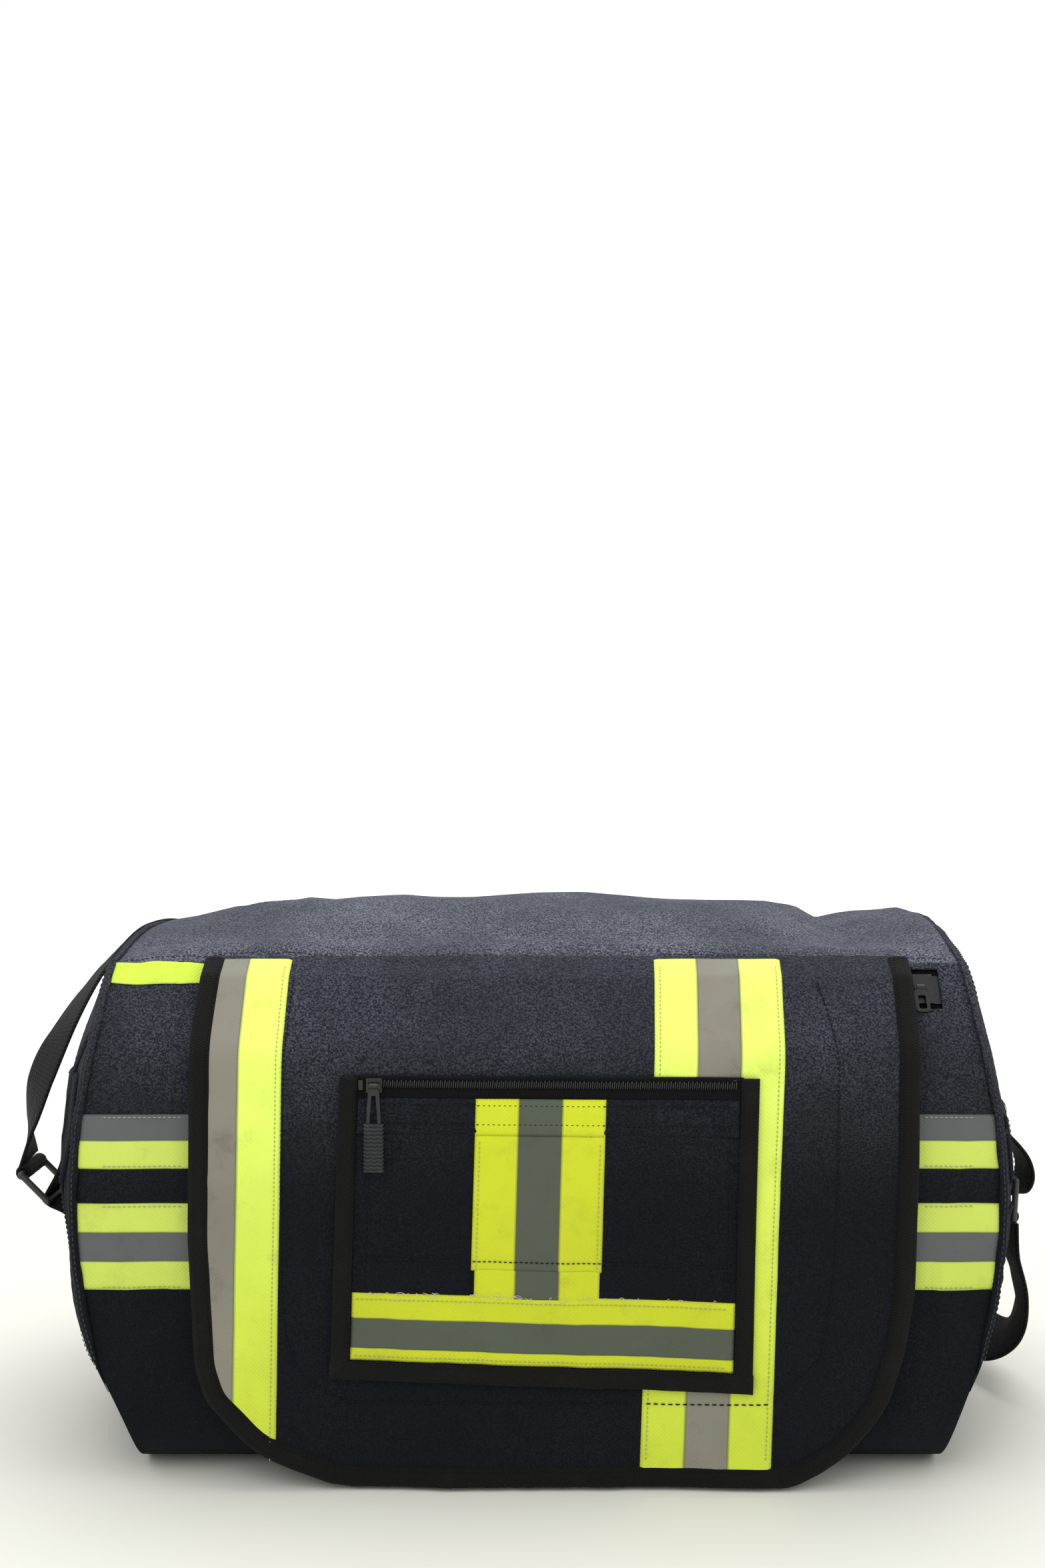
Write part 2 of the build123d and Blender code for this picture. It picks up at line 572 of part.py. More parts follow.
def ring(inner, angle):
    """A round-bar ring: two long bars across, two short arms, and ball corners."""
    outer = outer_bar_of(inner, angle)
    middle = ((inner[0] + outer[0]) / 2, (inner[1] + outer[1]) / 2)
    along = Plane(origin=(middle[0], STRAP_DEPTH, middle[1]), x_dir=(0, 1, 0),
                  z_dir=(outer[0] - inner[0], 0, outer[1] - inner[1]))
    shape = None
    for end in (-1, 1):
        bar = along * Pos(0, 0, end * bar_distance / 2) * Rot(0, 90, 0)
        arm = along * Pos(end * half_bar, 0, 0)
        pieces = [bar * Cylinder(RING_RADIUS, 2 * half_bar), arm * Cylinder(RING_RADIUS, bar_distance)]
        pieces += [along * Pos(end * half_bar, 0, up * bar_distance / 2) * Sphere(RING_RADIUS)
                   for up in (-1, 1)]
        for piece in pieces:
            shape = piece if shape is None else shape + piece
    return shape


def band(face_outer, face_inner):
    """A band of webbing between two outlines, as wide as the webbing."""
    return extrude(section * (face_outer - face_inner), amount=WEBBING_WIDTH / 2, both=True)


def anchor(side, inner, heights):
    """Webbing sewn to the end at two heights and folded round a ring's inner bar."""
    root = side * (BAG_HALF_LENGTH - ANCHOR_ROOT)

    def outline(radius):
        spare = radius - fold_inside
        low, high = heights[0] + WEBBING - spare, heights[1] - WEBBING + spare
        fold = Pos(*inner) * Circle(radius)
        wall = Line((root, low), (root, high))
        return make_hull(fold.edges() + wall.edges())

    return band(outline(fold_outside), outline(fold_inside)) - end_ball(side)


def strap_loop(centre):
    """The sewn end of the strap, folded round a ring's outer bar."""
    return band(Pos(*centre) * Circle(fold_outside), Pos(*centre) * Circle(fold_inside))


def strap_section(index):
    """The webbing's cross-section at one point of its route."""
    points = [Vector(*point) for point, face in STRAP_ROUTE]
    before = points[max(index - 1, 0)]
    after = points[min(index + 1, len(points) - 1)]
    tangent = (after - before).normalized()
    width_way = tangent.cross(Vector(*STRAP_ROUTE[index][1])).normalized()
    plane = Plane(origin=points[index], x_dir=width_way, z_dir=tangent)
    return plane * Rectangle(WEBBING_WIDTH, WEBBING)


left_outer = outer_bar_of(LEFT_RING, LEFT_RING_ANGLE)
right_outer = outer_bar_of(RIGHT_RING, RIGHT_RING_ANGLE)
shoulder_strap = loft([strap_section(i) for i in range(len(STRAP_ROUTE))], ruled=True)

# ------------------------------------------------------------ write the pieces
os.makedirs("parts", exist_ok=True)
save("top_panel", top_panel)
save("front_panel", front_panel)
save("back_panel", back_panel)
save("base_panel", base_panel)
save("left_end_panel", end_panel(-1))
save("right_end_panel", end_panel(1))
save("base_board", base_board)
save("left_end_welt", end_welt(-1))
save("right_end_welt", end_welt(1))
save("left_end_pocket", end_patch(-1, PATCH_RISE, POCKET_PATCH_HEIGHT))
save("right_end_trim", end_patch(1, TRIM_THICKNESS, END_TRIM_HEIGHT))
save("top_corner_trim", slab(front, CORNER_TRIM, (-CORNER_TRIM_WIDTH, 0), (0, TRIM_THICKNESS)))
save("front_trim_upper", front_trim(FRONT_TRIM_UPPER_TOP, FRONT_TRIM_UPPER_WIDTH))
save("front_trim_lower", front_trim(FRONT_TRIM_LOWER_TOP, NARROW_TRIM))
save("main_zip_tapes", zip_tape(1, TAPE_HOLD_UPPER), zip_tape(-1, TAPE_HOLD_LOWER))
save("main_zip_coils", zip_coil(1), zip_coil(-1))
save("main_zip_stops", zip_stop((coil_left - STOP_LENGTH, coil_left)),
     zip_stop((coil_right, coil_right + STOP_LENGTH)))
save("main_slider", main_slider)
save("main_puller", main_puller)
save("flap_face", flap_face)
save("flap_lining", flap_lining)
save("flap_binding", flap_binding)
save("flap_trim_left", flap_trim_left)
save("flap_trim_right", flap_trim_right)
save("pocket_panel", pocket_panel)
save("pocket_binding", pocket_binding)
save("pocket_low_trim", low_trim)
save("pocket_facing", facing)
save("pocket_upright_trim", trim_strip)
save("pocket_cloth_left", cloth_left)
save("pocket_cloth_right", cloth_right)
save("pocket_top_strip", top_strip)
save("pocket_strip_trim", strip_trim)
save("pocket_zip_tapes", upper_tape, lower_tape)
save("pocket_zip_coil", pocket_coil)
save("pocket_zip_stops", left_stop, right_stop)
save("pocket_slider", pocket_slider)
save("pocket_puller", pocket_puller)
save("pocket_puller_tab", puller_tab)
save("left_ring", ring(LEFT_RING, LEFT_RING_ANGLE))
save("right_ring", ring(RIGHT_RING, RIGHT_RING_ANGLE))
save("left_anchor", anchor(-1, LEFT_RING, LEFT_ANCHOR_HEIGHTS))
save("right_anchor", anchor(1, RIGHT_RING, RIGHT_ANCHOR_HEIGHTS))
save("shoulder_strap", shoulder_strap)
save("strap_end_loops", strap_loop(left_outer), strap_loop(right_outer))
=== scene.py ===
"""Looks of a barrel holdall sewn from turnout-coat cloth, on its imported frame.

Sizes are in millimetres inside the classes and become metres when a mesh is made.
X runs along the bag, the front faces -Y and +Z is up.
"""
import logging
from dataclasses import dataclass, field
from enum import Enum
from typing import Any, Callable, Optional, Sequence, Union

import bmesh
import bpy
import numpy as np
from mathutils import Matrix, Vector


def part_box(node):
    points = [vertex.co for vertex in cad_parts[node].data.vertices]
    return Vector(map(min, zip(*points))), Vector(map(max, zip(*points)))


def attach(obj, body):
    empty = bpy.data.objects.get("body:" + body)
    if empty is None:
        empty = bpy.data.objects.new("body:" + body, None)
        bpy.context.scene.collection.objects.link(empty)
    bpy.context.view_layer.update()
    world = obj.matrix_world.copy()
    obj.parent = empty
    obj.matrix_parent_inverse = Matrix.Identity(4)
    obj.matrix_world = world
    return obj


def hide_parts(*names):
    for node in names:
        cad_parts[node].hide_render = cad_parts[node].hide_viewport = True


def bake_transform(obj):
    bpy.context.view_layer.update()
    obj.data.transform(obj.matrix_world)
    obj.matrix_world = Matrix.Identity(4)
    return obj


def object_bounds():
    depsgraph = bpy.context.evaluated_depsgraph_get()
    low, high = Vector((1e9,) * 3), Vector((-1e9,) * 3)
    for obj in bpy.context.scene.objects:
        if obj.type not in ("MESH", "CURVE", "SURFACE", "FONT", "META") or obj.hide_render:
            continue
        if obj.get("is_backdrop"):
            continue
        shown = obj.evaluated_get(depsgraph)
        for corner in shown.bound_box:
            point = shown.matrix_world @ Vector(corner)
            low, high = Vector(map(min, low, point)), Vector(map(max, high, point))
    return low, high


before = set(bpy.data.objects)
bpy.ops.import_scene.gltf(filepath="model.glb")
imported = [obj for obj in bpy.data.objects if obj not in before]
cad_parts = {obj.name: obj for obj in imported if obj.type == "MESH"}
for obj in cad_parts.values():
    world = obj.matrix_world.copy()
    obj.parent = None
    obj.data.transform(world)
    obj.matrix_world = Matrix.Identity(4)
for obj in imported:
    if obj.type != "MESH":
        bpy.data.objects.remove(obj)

LOG = logging.getLogger("holdall")
MM = 0.001
Array = np.ndarray
Colour = tuple[float, float, float]
Span = tuple[float, float]
Height = Callable[[Array, Array], Array]

GREY_HALF = 0.1667  # half the grey band's share of a trim
ZIP_SPAN = (-196.0, 240.0)  # the main zip's mouth along x
POCKET_ZIP_HEIGHT = 233.6


# ---------------------------------------------------------------- shader maths
class Signal:
    """A shader socket that takes part in Python arithmetic."""

    def __init__(self, maker: "FinishMaker", socket: bpy.types.NodeSocket) -> None:
        """Keep the socket and the maker that adds nodes beside it."""
        self.maker, self.socket = maker, socket

    def _math(self, operation: str, a: Any, b: Any = 0.0) -> "Signal":
        """Add one Math node.

        Args:
            operation: the node's operation.
            a: first value or signal.
            b: second value or signal.

        Returns:
            The node's result.
        """
        node = self.maker.node("ShaderNodeMath", {"operation": operation}, {0: a, 1: b})
        return Signal(self.maker, node.outputs[0])

    def __add__(self, other: Any) -> "Signal":
        """Sum."""
        return self._math("ADD", self, other)

    __radd__ = __add__

    def __sub__(self, other: Any) -> "Signal":
        """Difference."""
        return self._math("SUBTRACT", self, other)

    def __rsub__(self, other: Any) -> "Signal":
        """Reflected difference."""
        return self._math("SUBTRACT", other, self)

    def __mul__(self, other: Any) -> "Signal":
        """Product."""
        return self._math("MULTIPLY", self, other)

    __rmul__ = __mul__

    def fract(self) -> "Signal":
        """Fractional part."""
        return self._math("FRACT", self)

    def sine(self) -> "Signal":
        """Sine of the signal in radians."""
        return self._math("SINE", self)

    def absolute(self) -> "Signal":
        """Size without sign."""
        return self._math("ABSOLUTE", self)

    def ramp(self, low: float, high: float) -> "Signal":
        """Zero below low, one above high, smooth between.

        Args:
            low: the value that becomes zero.
            high: the value that becomes one.

        Returns:
            The eased signal.
        """
        node = self.maker.node("ShaderNodeMapRange", {"interpolation_type": "SMOOTHSTEP"},
                               {"Value": self, "From Min": low, "From Max": high})
        return Signal(self.maker, node.outputs[0])


class FinishMaker:
    """Builds one material's node tree."""

    def __init__(self, name: str) -> None:
        """Start a material with an empty tree and its output."""
        self.material = bpy.data.materials.new(name)
        self.material.use_nodes = True
        self.tree = self.material.node_tree
        self.tree.nodes.clear()
        self.output = self.tree.nodes.new("ShaderNodeOutputMaterial")

    def node(self, kind: str, settings: Optional[dict[str, Any]] = None,
             inputs: Optional[dict[Union[int, str], Any]] = None) -> bpy.types.Node:
        """Add any node.

        Args:
            kind: the node's type.
            settings: attributes set first.
            inputs: values or links of its sockets, by name or number.

        Returns:
            The node.
        """
        node = self.tree.nodes.new(kind)
        for key, value in (settings or {}).items():
            setattr(node, key, value)
        for key, value in (inputs or {}).items():
            if isinstance(value, Signal):
                self.tree.links.new(value.socket, node.inputs[key])
            else:
                node.inputs[key].default_value = value
        return node

    def signal(self, kind: str, settings: Optional[dict[str, Any]] = None,
               inputs: Optional[dict[Union[int, str], Any]] = None,
               out: Union[int, str] = 0) -> Signal:
        """Add a node and take one of its outputs.

        Args:
            kind: the node's type.
            settings: attributes set first.
            inputs: values or links of its sockets.
            out: which output.

        Returns:
            The output as a signal.
        """
        return Signal(self, self.node(kind, settings, inputs).outputs[out])

    def place(self) -> Signal:
        """Object coordinates."""
        return self.signal("ShaderNodeTexCoord", out="Object")

    def cloth(self) -> tuple[Signal, Signal]:
        """The piece's own cloth coordinates, in metres along and across."""
        uv = self.signal("ShaderNodeUVMap", {"uv_map": "cloth"})
        parts = self.node("ShaderNodeSeparateXYZ", None, {0: uv})
        return Signal(self, parts.outputs[0]), Signal(self, parts.outputs[1])

    def height(self) -> Signal:
        """Height above the ground, in metres."""
        parts = self.node("ShaderNodeSeparateXYZ", None, {0: self.place()})
        return Signal(self, parts.outputs[2])

    def noise(self, scale: float, detail: float = 3.0, rough: float = 0.55) -> Signal:
        """Soft noise over object space.

        Args:
            scale: cells per metre.
            detail: octaves.
            rough: strength of the finer octaves.

        Returns:
            A signal of about 0.2 to 0.8.
        """
        return self.signal("ShaderNodeTexNoise", None,
                           {"Vector": self.place(), "Scale": scale, "Detail": detail,
                            "Roughness": rough})

    def mix(self, factor: Any, a: Any, b: Any) -> Signal:
        """Blend two colours.

        Args:
            factor: share of b.
            a: colour or signal.
            b: colour or signal.

        Returns:
            The blended colour.
        """
        node = self.node("ShaderNodeMix", {"data_type": "RGBA"}, {0: factor})
        for index, value in ((6, a), (7, b)):
            if isinstance(value, Signal):
                self.tree.links.new(value.socket, node.inputs[index])
            else:
                node.inputs[index].default_value = (*value, 1.0)
        return Signal(self, node.outputs[2])

    def finish(self, base: Signal, rough: Any, relief: Signal, depth: float,
               fixed: Optional[dict[str, Any]] = None) -> bpy.types.Material:
        """Close the tree with a Principled shader.

        Args:
            base: colour.
            rough: roughness, a number or a signal.
            relief: height of the surface detail, 0 to 1.
            depth: what one unit of relief stands for, in metres.
            fixed: constants set on the shader's own sockets.

        Returns:
            The finished material.
        """
        bump = self.signal("ShaderNodeBump", None,
                           {"Strength": 0.9, "Distance": depth, "Height": relief})
        shader = self.node("ShaderNodeBsdfPrincipled", None,
                           {"Base Color": base, "Roughness": rough, "Normal": bump,
                            **(fixed or {})})
        self.tree.links.new(shader.outputs[0], self.output.inputs[0])
        return self.material


def srgb(red: int, green: int, blue: int) -> Colour:
    """Turn display values of 0 to 255 into linear light.

    Args:
        red: red.
        green: green.
        blue: blue.

    Returns:
        The linear colour.
    """
    value = np.array([red, green, blue]) / 255.0
    linear = np.where(value <= 0.04045, value / 12.92, ((value + 0.055) / 1.055) ** 2.4)
    return tuple(float(v) for v in linear)


# -------------------------------------------------------------------- finishes
@dataclass(frozen=True)
class Twill:
    """Heavy twill shell cloth with a heathered, worn face."""

    name: str
    dark: Colour
    light: Colour
    heather: float = 0.5
    pitch: float = 0.0011
    # share of the light heather kept near the floor, where the cloth sits in painted shade
    painted_shade_share: float = 0.10

    def material(self) -> bpy.types.Material:
        """Diagonal ribs in the cloth's own coordinates, flecked, and lighter higher up as a
        painted highlight of the top light.
        """
        m = FinishMaker(self.name)
        along, across = m.cloth()
        rib = ((along + across) * (1.0 / self.pitch)).fract()
        ridge = 1.0 - ((rib - 0.5) * 2.0).absolute()
        yarn = (across * (6.2832 / self.pitch)).sine() * 0.5 + 0.5
        fleck = m.noise(900.0, 3.0, 0.75).ramp(0.42, 0.62)
        patch = m.noise(13.0, 4.0, 0.6).ramp(0.34, 0.70)
        dust = m.noise(95.0, 5.0, 0.75).ramp(0.54, 0.78)
        # Painted light: the light heather share grows with height to stand in for the top light's
        # sheen, and stays low near the floor as painted shade.
        painted_top_light = m.height().ramp(0.15, 0.30) * (1.08 - self.painted_shade_share) + self.painted_shade_share
        share = fleck * self.heather * (patch * 0.6 + 0.62) + ridge * 0.14 + dust * 0.14
        base = m.mix(share * painted_top_light, self.dark, self.light)
        rough = patch * 0.08 + 0.84
        return m.finish(base, rough, ridge * 0.7 + yarn * 0.2 + fleck * 0.25, 0.00035,
                        {"Sheen Weight": 0.02, "Sheen Roughness": 0.5,
                         "Specular IOR Level": 0.06})


class Bands(Enum):
    """How a trim's bands lie across it."""

    THREE = "lime, grey, lime"
    LIME = "lime"


@dataclass(frozen=True)
class Trim:
    """Fluorescent and reflective trim, soiled by use."""

    name: str
    lime: Colour
    # the lime near the floor, darker as painted shade from the top light's falloff
    lime_in_painted_shade: Colour
    grey: Colour
    bands: Bands = Bands.THREE

    def material(self) -> bpy.types.Material:
        """Bands across the piece, random grime, lime painted darker downwards as shade, fine mesh
        weave.
        """
        m = FinishMaker(self.name)
        along, across = m.cloth()
        soil = m.noise(34.0, 6.0, 0.7).ramp(0.50, 0.80)
        smear = m.noise(11.0, 3.0, 0.6).ramp(0.42, 0.75)
        # Painted shade: the lime darkens towards the floor, standing in for the top light's
        # falloff.
        lift = m.height().ramp(0.02, 0.30)
        lime = m.mix(lift, self.lime_in_painted_shade, self.lime)
        scuffed = m.mix(soil * 0.34 + smear * 0.12, lime, srgb(128, 132, 52))
        weave = ((along * 2600.0).sine() * (across * 2600.0).sine()) * 0.5 + 0.5
        if self.bands is Bands.LIME:
            return m.finish(scuffed, 0.62, weave, 0.00018, {"Specular IOR Level": 0.15})
        share = m.signal("ShaderNodeAttribute", {"attribute_name": "band"}, out="Fac")
        middle = 1.0 - ((share - 0.5).absolute() - GREY_HALF).ramp(-0.004, 0.004)
        worn = m.mix(soil * 0.5 + smear * 0.2, self.grey, srgb(70, 68, 62))
        base = m.mix(middle, scuffed, worn)
        edge = 1.0 - ((share - 0.5).absolute() - GREY_HALF).absolute().ramp(0.004, 0.016)
        seam = m.mix(edge * 0.45, base, srgb(84, 88, 46))
        return m.finish(seam, 0.66 - middle * 0.2, weave * 0.5 - edge * 0.6, 0.0003,
                        {"Specular IOR Level": 0.2})


@dataclass(frozen=True)
class Tape:
    """Woven tape: herringbone binding, ribbed webbing or flat zip tape."""

    name: str
    dark: Colour
    light: Colour
    rib: float
    slant: float = 0.0
    rough: float = 0.7

    def material(self) -> bpy.types.Material:
        """Ribs across the tape, turned into chevrons by the slant."""
        m = FinishMaker(self.name)
        along, across = m.cloth()
        chevron = ((across * 250.0).fract() - 0.5).absolute() * self.slant
        wave = (along * (1.0 / self.rib) + chevron).fract()
        ridge = 1.0 - ((wave - 0.5) * 2.0).absolute()
        grime = m.noise(60.0, 5.0, 0.7).ramp(0.50, 0.80)
        fuzz = m.noise(1800.0, 2.0, 0.7)
        base = m.mix(ridge * 0.45 + grime * 0.35 + fuzz * 0.15, self.dark, self.light)
        return m.finish(base, grime * 0.12 + self.rough, ridge + fuzz * 0.3, 0.0005,
                        {"Sheen Weight": 0.02, "Specular IOR Level": 0.10})


@dataclass(frozen=True)
class Hard:
    """Moulded plastic or enamelled metal with scuffs."""

    name: str
    colour: Colour
    worn: Colour
    metal: float
    rough: float
    coat: float = 0.0

    def material(self) -> bpy.types.Material:
        """Fine orange-peel grain with rubbed patches and hairline scratches."""
        m = FinishMaker(self.name)
        grain = m.noise(900.0, 3.0, 0.6)
        rub = m.noise(160.0, 6.0, 0.7).ramp(0.56, 0.74)
        scratch = m.noise(2400.0, 1.0, 0.4).ramp(0.66, 0.74)
        base = m.mix(rub * 0.6 + scratch * 0.25, self.colour, self.worn)
        return m.finish(base, rub * 0.2 + grain * 0.08 + self.rough, grain - rub * 0.3, 0.00012,
                        {"Metallic": self.metal, "Coat Weight": self.coat,
                         "Coat Roughness": 0.18})


@dataclass(frozen=True)
class Thread:
    """Spun sewing thread."""

    name: str
    colour: Colour

    def material(self) -> bpy.types.Material:
        """Fibre fuzz on a matt strand."""
        m = FinishMaker(self.name)
        fuzz = m.noise(2500.0, 2.0, 0.7)
        dull = tuple(0.6 * c for c in self.colour)
        return m.finish(m.mix(fuzz, dull, self.colour), 0.75, fuzz, 0.0001,
                        {"Specular IOR Level": 0.15})


@dataclass(frozen=True)
class Ground:
    """Pale studio floor."""

    name: str = "pale_floor"

    def material(self) -> bpy.types.Material:
        """Pale grey, slightly mottled, that brightens to the backdrop's white far away."""
        m = FinishMaker(self.name)
        mottle = m.noise(3.0, 4.0, 0.5)
        base = m.mix(mottle, srgb(224, 224, 215), srgb(231, 231, 223))
        away = m.signal("ShaderNodeVectorMath", {"operation": "LENGTH"}, {0: m.place()},
                        "Value")
        glow = m.mix(away.ramp(0.5, 3.0), (0.0, 0.0, 0.0), (0.42, 0.42, 0.43))
        return m.finish(base, 0.85, mottle, 0.0001,
                        {"Emission Color": glow, "Emission Strength": 1.0,
                         "Specular IOR Level": 0.05})


FINISHES: dict[str, Any] = {finish.name: finish for finish in (
    Twill("navy_twill", srgb(15, 17, 21), srgb(104, 108, 121), 0.42),
    Twill("ridge_twill", srgb(30, 33, 42), srgb(136, 140, 153), 0.62, painted_shade_share=0.8),
    Twill("pocket_twill", srgb(13, 15, 20), srgb(76, 80, 92), 0.36, painted_shade_share=0.22),
    Twill("lining", srgb(20, 20, 22), srgb(52, 52, 56), 0.25, 0.0007, 0.5),
    Trim("trim", srgb(228, 251, 112), srgb(198, 215, 62), srgb(131, 128, 116)),
    Trim("front_trim", srgb(199, 217, 98), srgb(190, 209, 86), srgb(90, 92, 93)),
    Trim("pocket_trim", srgb(203, 214, 40), srgb(190, 200, 40), srgb(78, 86, 73)),
    Trim("lime_trim", srgb(204, 232, 76), srgb(190, 212, 70), srgb(100, 100, 100), Bands.LIME),
    Tape("binding", srgb(6, 6, 6), srgb(34, 33, 32), 0.0016, 1.6),
    Tape("webbing", srgb(7, 7, 8), srgb(38, 38, 40), 0.0026, 0.7),
    Tape("webbing_grey", srgb(22, 23, 24), srgb(78, 80, 82), 0.0022, 0.5),
    Tape("zip_tape", srgb(6, 6, 7), srgb(26, 26, 28), 0.0009, 0.8, 0.75),
    Hard("coil", srgb(10, 10, 11), srgb(40, 40, 42), 0.0, 0.28, 0.25),
    Hard("enamel", srgb(14, 14, 15), srgb(92, 90, 86), 0.35, 0.32, 0.3),
    Hard("ring_plastic", srgb(38, 39, 41), srgb(82, 82, 84), 0.0, 0.42),
    Hard("board", srgb(34, 34, 35), srgb(60, 60, 62), 0.0, 0.6),
    Thread("black_thread", srgb(22, 22, 24)),
    Thread("grey_thread", srgb(66, 69, 76)),
    Thread("pale_thread", srgb(176, 178, 132)),
    Thread("white_thread", srgb(232, 230, 222)),
    Thread("red_thread", srgb(176, 34, 36)),
)}


class Wardrobe:
    """Makes each finish once and hands it out."""

    def __init__(self) -> None:
        """Start empty."""
        self.made: dict[str, bpy.types.Material] = {}

    def get(self, key: str) -> bpy.types.Material:
        """Return a finish's material, making it on first use.

        Args:
            key: the finish's name.

        Returns:
            The material.
        """
        if key not in self.made:
            self.made[key] = FINISHES[key].material()
        return self.made[key]


# ------------------------------------------------------------- numeric helpers
def ease(value: Array, low: float, high: float) -> Array:
    """Smoothstep: 3t^2 - 2t^3 of the share of the way from low to high.

    Args:
        value: where to evaluate.
        low: start of the step.
        high: end of the step.

    Returns:
        Values of 0 to 1.
    """
    t = np.clip((value - low) / (high - low), 0.0, 1.0)
    return t * t * (3.0 - 2.0 * t)


def ripple(u: Array, v: Array, length: float, seed: int, count: int = 9,
           stretch: float = 1.0) -> Array:
    """Sum of plane sine waves of random heading, scaled to about -1 to 1.

    Args:
        u: first coordinate, mm.
        v: second coordinate, mm.
        length: typical wavelength, mm.
        seed: fixes the headings.
        count: number of waves.
        stretch: how many times longer the waves run along v than along u.

    Returns:
        The height at each point.
    """
    rng = np.random.default_rng(seed)
    total = np.zeros(np.broadcast(u, v).shape)
    for _ in range(count):
        angle, phase = rng.uniform(0, 2 * np.pi, 2)
        k = 2 * np.pi / (length * rng.uniform(0.6, 1.7))
        total = total + np.sin(k * (np.cos(angle) * u + np.sin(angle) * v / stretch) + phase)
    return total / np.sqrt(count) * 0.8


def creases(u: Array, v: Array, length: float, seed: int, stretch: float = 1.0) -> Array:
    """Sharp-topped folds: (1 - |ripple|) squared, 0 to 1.

    Args:
        u: first coordinate, mm.
        v: second coordinate, mm.
        length: typical distance between folds, mm.
        seed: fixes the pattern.
        stretch: how much the folds run along v.

    Returns:
        The height at each point.
    """
    return np.clip(1.0 - np.abs(ripple(u, v, length, seed, 7, stretch)), 0.0, 1.0) ** 2


def unit(vectors: Array) -> Array:
    """Scale vectors to length one."""
    return vectors / np.maximum(np.linalg.norm(vectors, axis=-1, keepdims=True), 1e-9)


def arc_length(points: Array) -> Array:
    """Running length along a polyline, from 0."""
    return np.concatenate([[0.0], np.cumsum(np.linalg.norm(np.diff(points, axis=0), axis=1))])


def rounded_path(corners: Sequence[Sequence[float]], radii: Sequence[float],
                 step: float = 1.5) -> Array:
    """Straight runs joined by tangent arcs, resampled evenly.

    Args:
        corners: the path's corners, two numbers each.
        radii: the arc at each inner corner.
        step: spacing of the result.

    Returns:
        Points along the path.
    """
    pts = np.asarray(corners, float)
    out = [pts[:1]]
    for i, radius in enumerate(radii, start=1):
        a, b = unit(pts[i - 1] - pts[i]), unit(pts[i + 1] - pts[i])
        half = np.arccos(np.clip(a @ b, -1, 1)) / 2
        reach = radius / np.tan(half)
        centre = pts[i] + unit(a + b) * radius / np.sin(half)
        start, end = pts[i] + a * reach - centre, pts[i] + b * reach - centre
        turn = np.linspace(0, 1, 24)[:, None]
        swing = np.pi - 2 * half
        out.append(centre + (np.sin((1 - turn) * swing) * start + np.sin(turn * swing) * end)
                   / np.sin(swing))
    out.append(pts[-1:])
    return resample(np.concatenate(out), step)


def resample(points: Array, step: float) -> Array:
    """Even spacing along a polyline by linear interpolation of arc length.

    Args:
        points: the polyline.
        step: about the wanted spacing.

    Returns:
        The new points.
    """
    run = arc_length(points)
    keep = np.concatenate([[True], np.diff(run) > 1e-9])
    points, run = points[keep], run[keep]
    count = max(3, int(round(run[-1] / step)) + 1)
    at = np.linspace(0, run[-1], count)
    return np.stack([np.interp(at, run, points[:, i]) for i in range(points.shape[1])], 1)


def spread(values: Array, like: Array) -> Array:
    """One value per row, repeated over the columns of another grid."""
    return values[:, None] * np.ones_like(like)


def metres(u: Array, v: Array) -> Array:
    """Cloth coordinates in metres from two grids of millimetres."""
    return np.stack([u, v], -1) * MM


def wrap(path: Array, profile: Array) -> Array:
    """Cloth coordinates of a profile carried along a path: run along it, girth round it."""
    return metres(*np.meshgrid(arc_length(path), arc_length(profile), indexing="ij"))


def oval(wide: float, tall: float, sides: int) -> Array:
    """An ellipse's outline from its half width and half height."""
    turn = np.linspace(0, 2 * np.pi, sides + 1)[:-1]
    return np.stack([np.cos(turn) * wide, np.sin(turn) * tall], 1)


def quads(rows: int, cols: int, ring: bool, loop: bool = False) -> Array:
    """Vertex numbers of a grid's cells.

    Args:
        rows: rows of points.
        cols: columns of points.
        ring: join the last column to the first.
        loop: join the last row to the first.

    Returns:
        Rows by columns by 4.
    """
    index = np.arange(rows * cols).reshape(rows, cols)
    if ring:
        index = np.hstack([index, index[:, :1]])
    if loop:
        index = np.vstack([index, index[:1]])
    return np.stack([index[:-1, :-1], index[1:, :-1], index[1:, 1:], index[:-1, 1:]], -1)


def outside(u: Array, v: Array, across: Span, along: Span) -> Array:
    """Which cells of a grid have their middle outside a window.

    Args:
        u: first coordinate of each point.
        v: second coordinate.
        across: the window's range of u.
        along: its range of v.

    Returns:
        True for each cell outside.
    """
    mid_u, mid_v = ((a[:-1, :-1] + a[1:, 1:]) / 2 for a in (u, v))
    return ~((mid_u > across[0]) & (mid_u < across[1]) & (mid_v > along[0])
             & (mid_v < along[1]))


def edge_gap(u: Array, v: Array, span: Span, rise: Span) -> Array:
    """Distance from each point to the nearest edge of a rectangle."""
    return np.minimum(np.minimum(u - span[0], span[1] - u),
                      np.minimum(v - rise[0], rise[1] - v))


def smooth_curve(points: Array, count: int) -> Array:
    """Catmull-Rom curve through the points.

    Args:
        points: what it passes through, any number of columns.
        count: samples along the whole curve.

    Returns:
        Points on the curve.
    """
    p = np.vstack([2 * points[0] - points[1], points, 2 * points[-1] - points[-2]])
    at = np.linspace(0, len(points) - 1 - 1e-9, count)
    i, t = at.astype(int), (at % 1.0)[:, None]
    a, b, c, d = p[i], p[i + 1], p[i + 2], p[i + 3]
    return 0.5 * (2 * b + (c - a) * t + (2 * a - 5 * b + 4 * c - d) * t ** 2
                  + (3 * b - a - 3 * c + d) * t ** 3)


# ------------------------------------------------------------------- workbench
BEAD_T = np.array([0.12, 0.5, 0.88])  # where a bead's rings lie along it
BEAD_R = np.array([0.75, 1.0, 0.75])  # their radii, as shares of its half width
BEAD_SIDES = 5


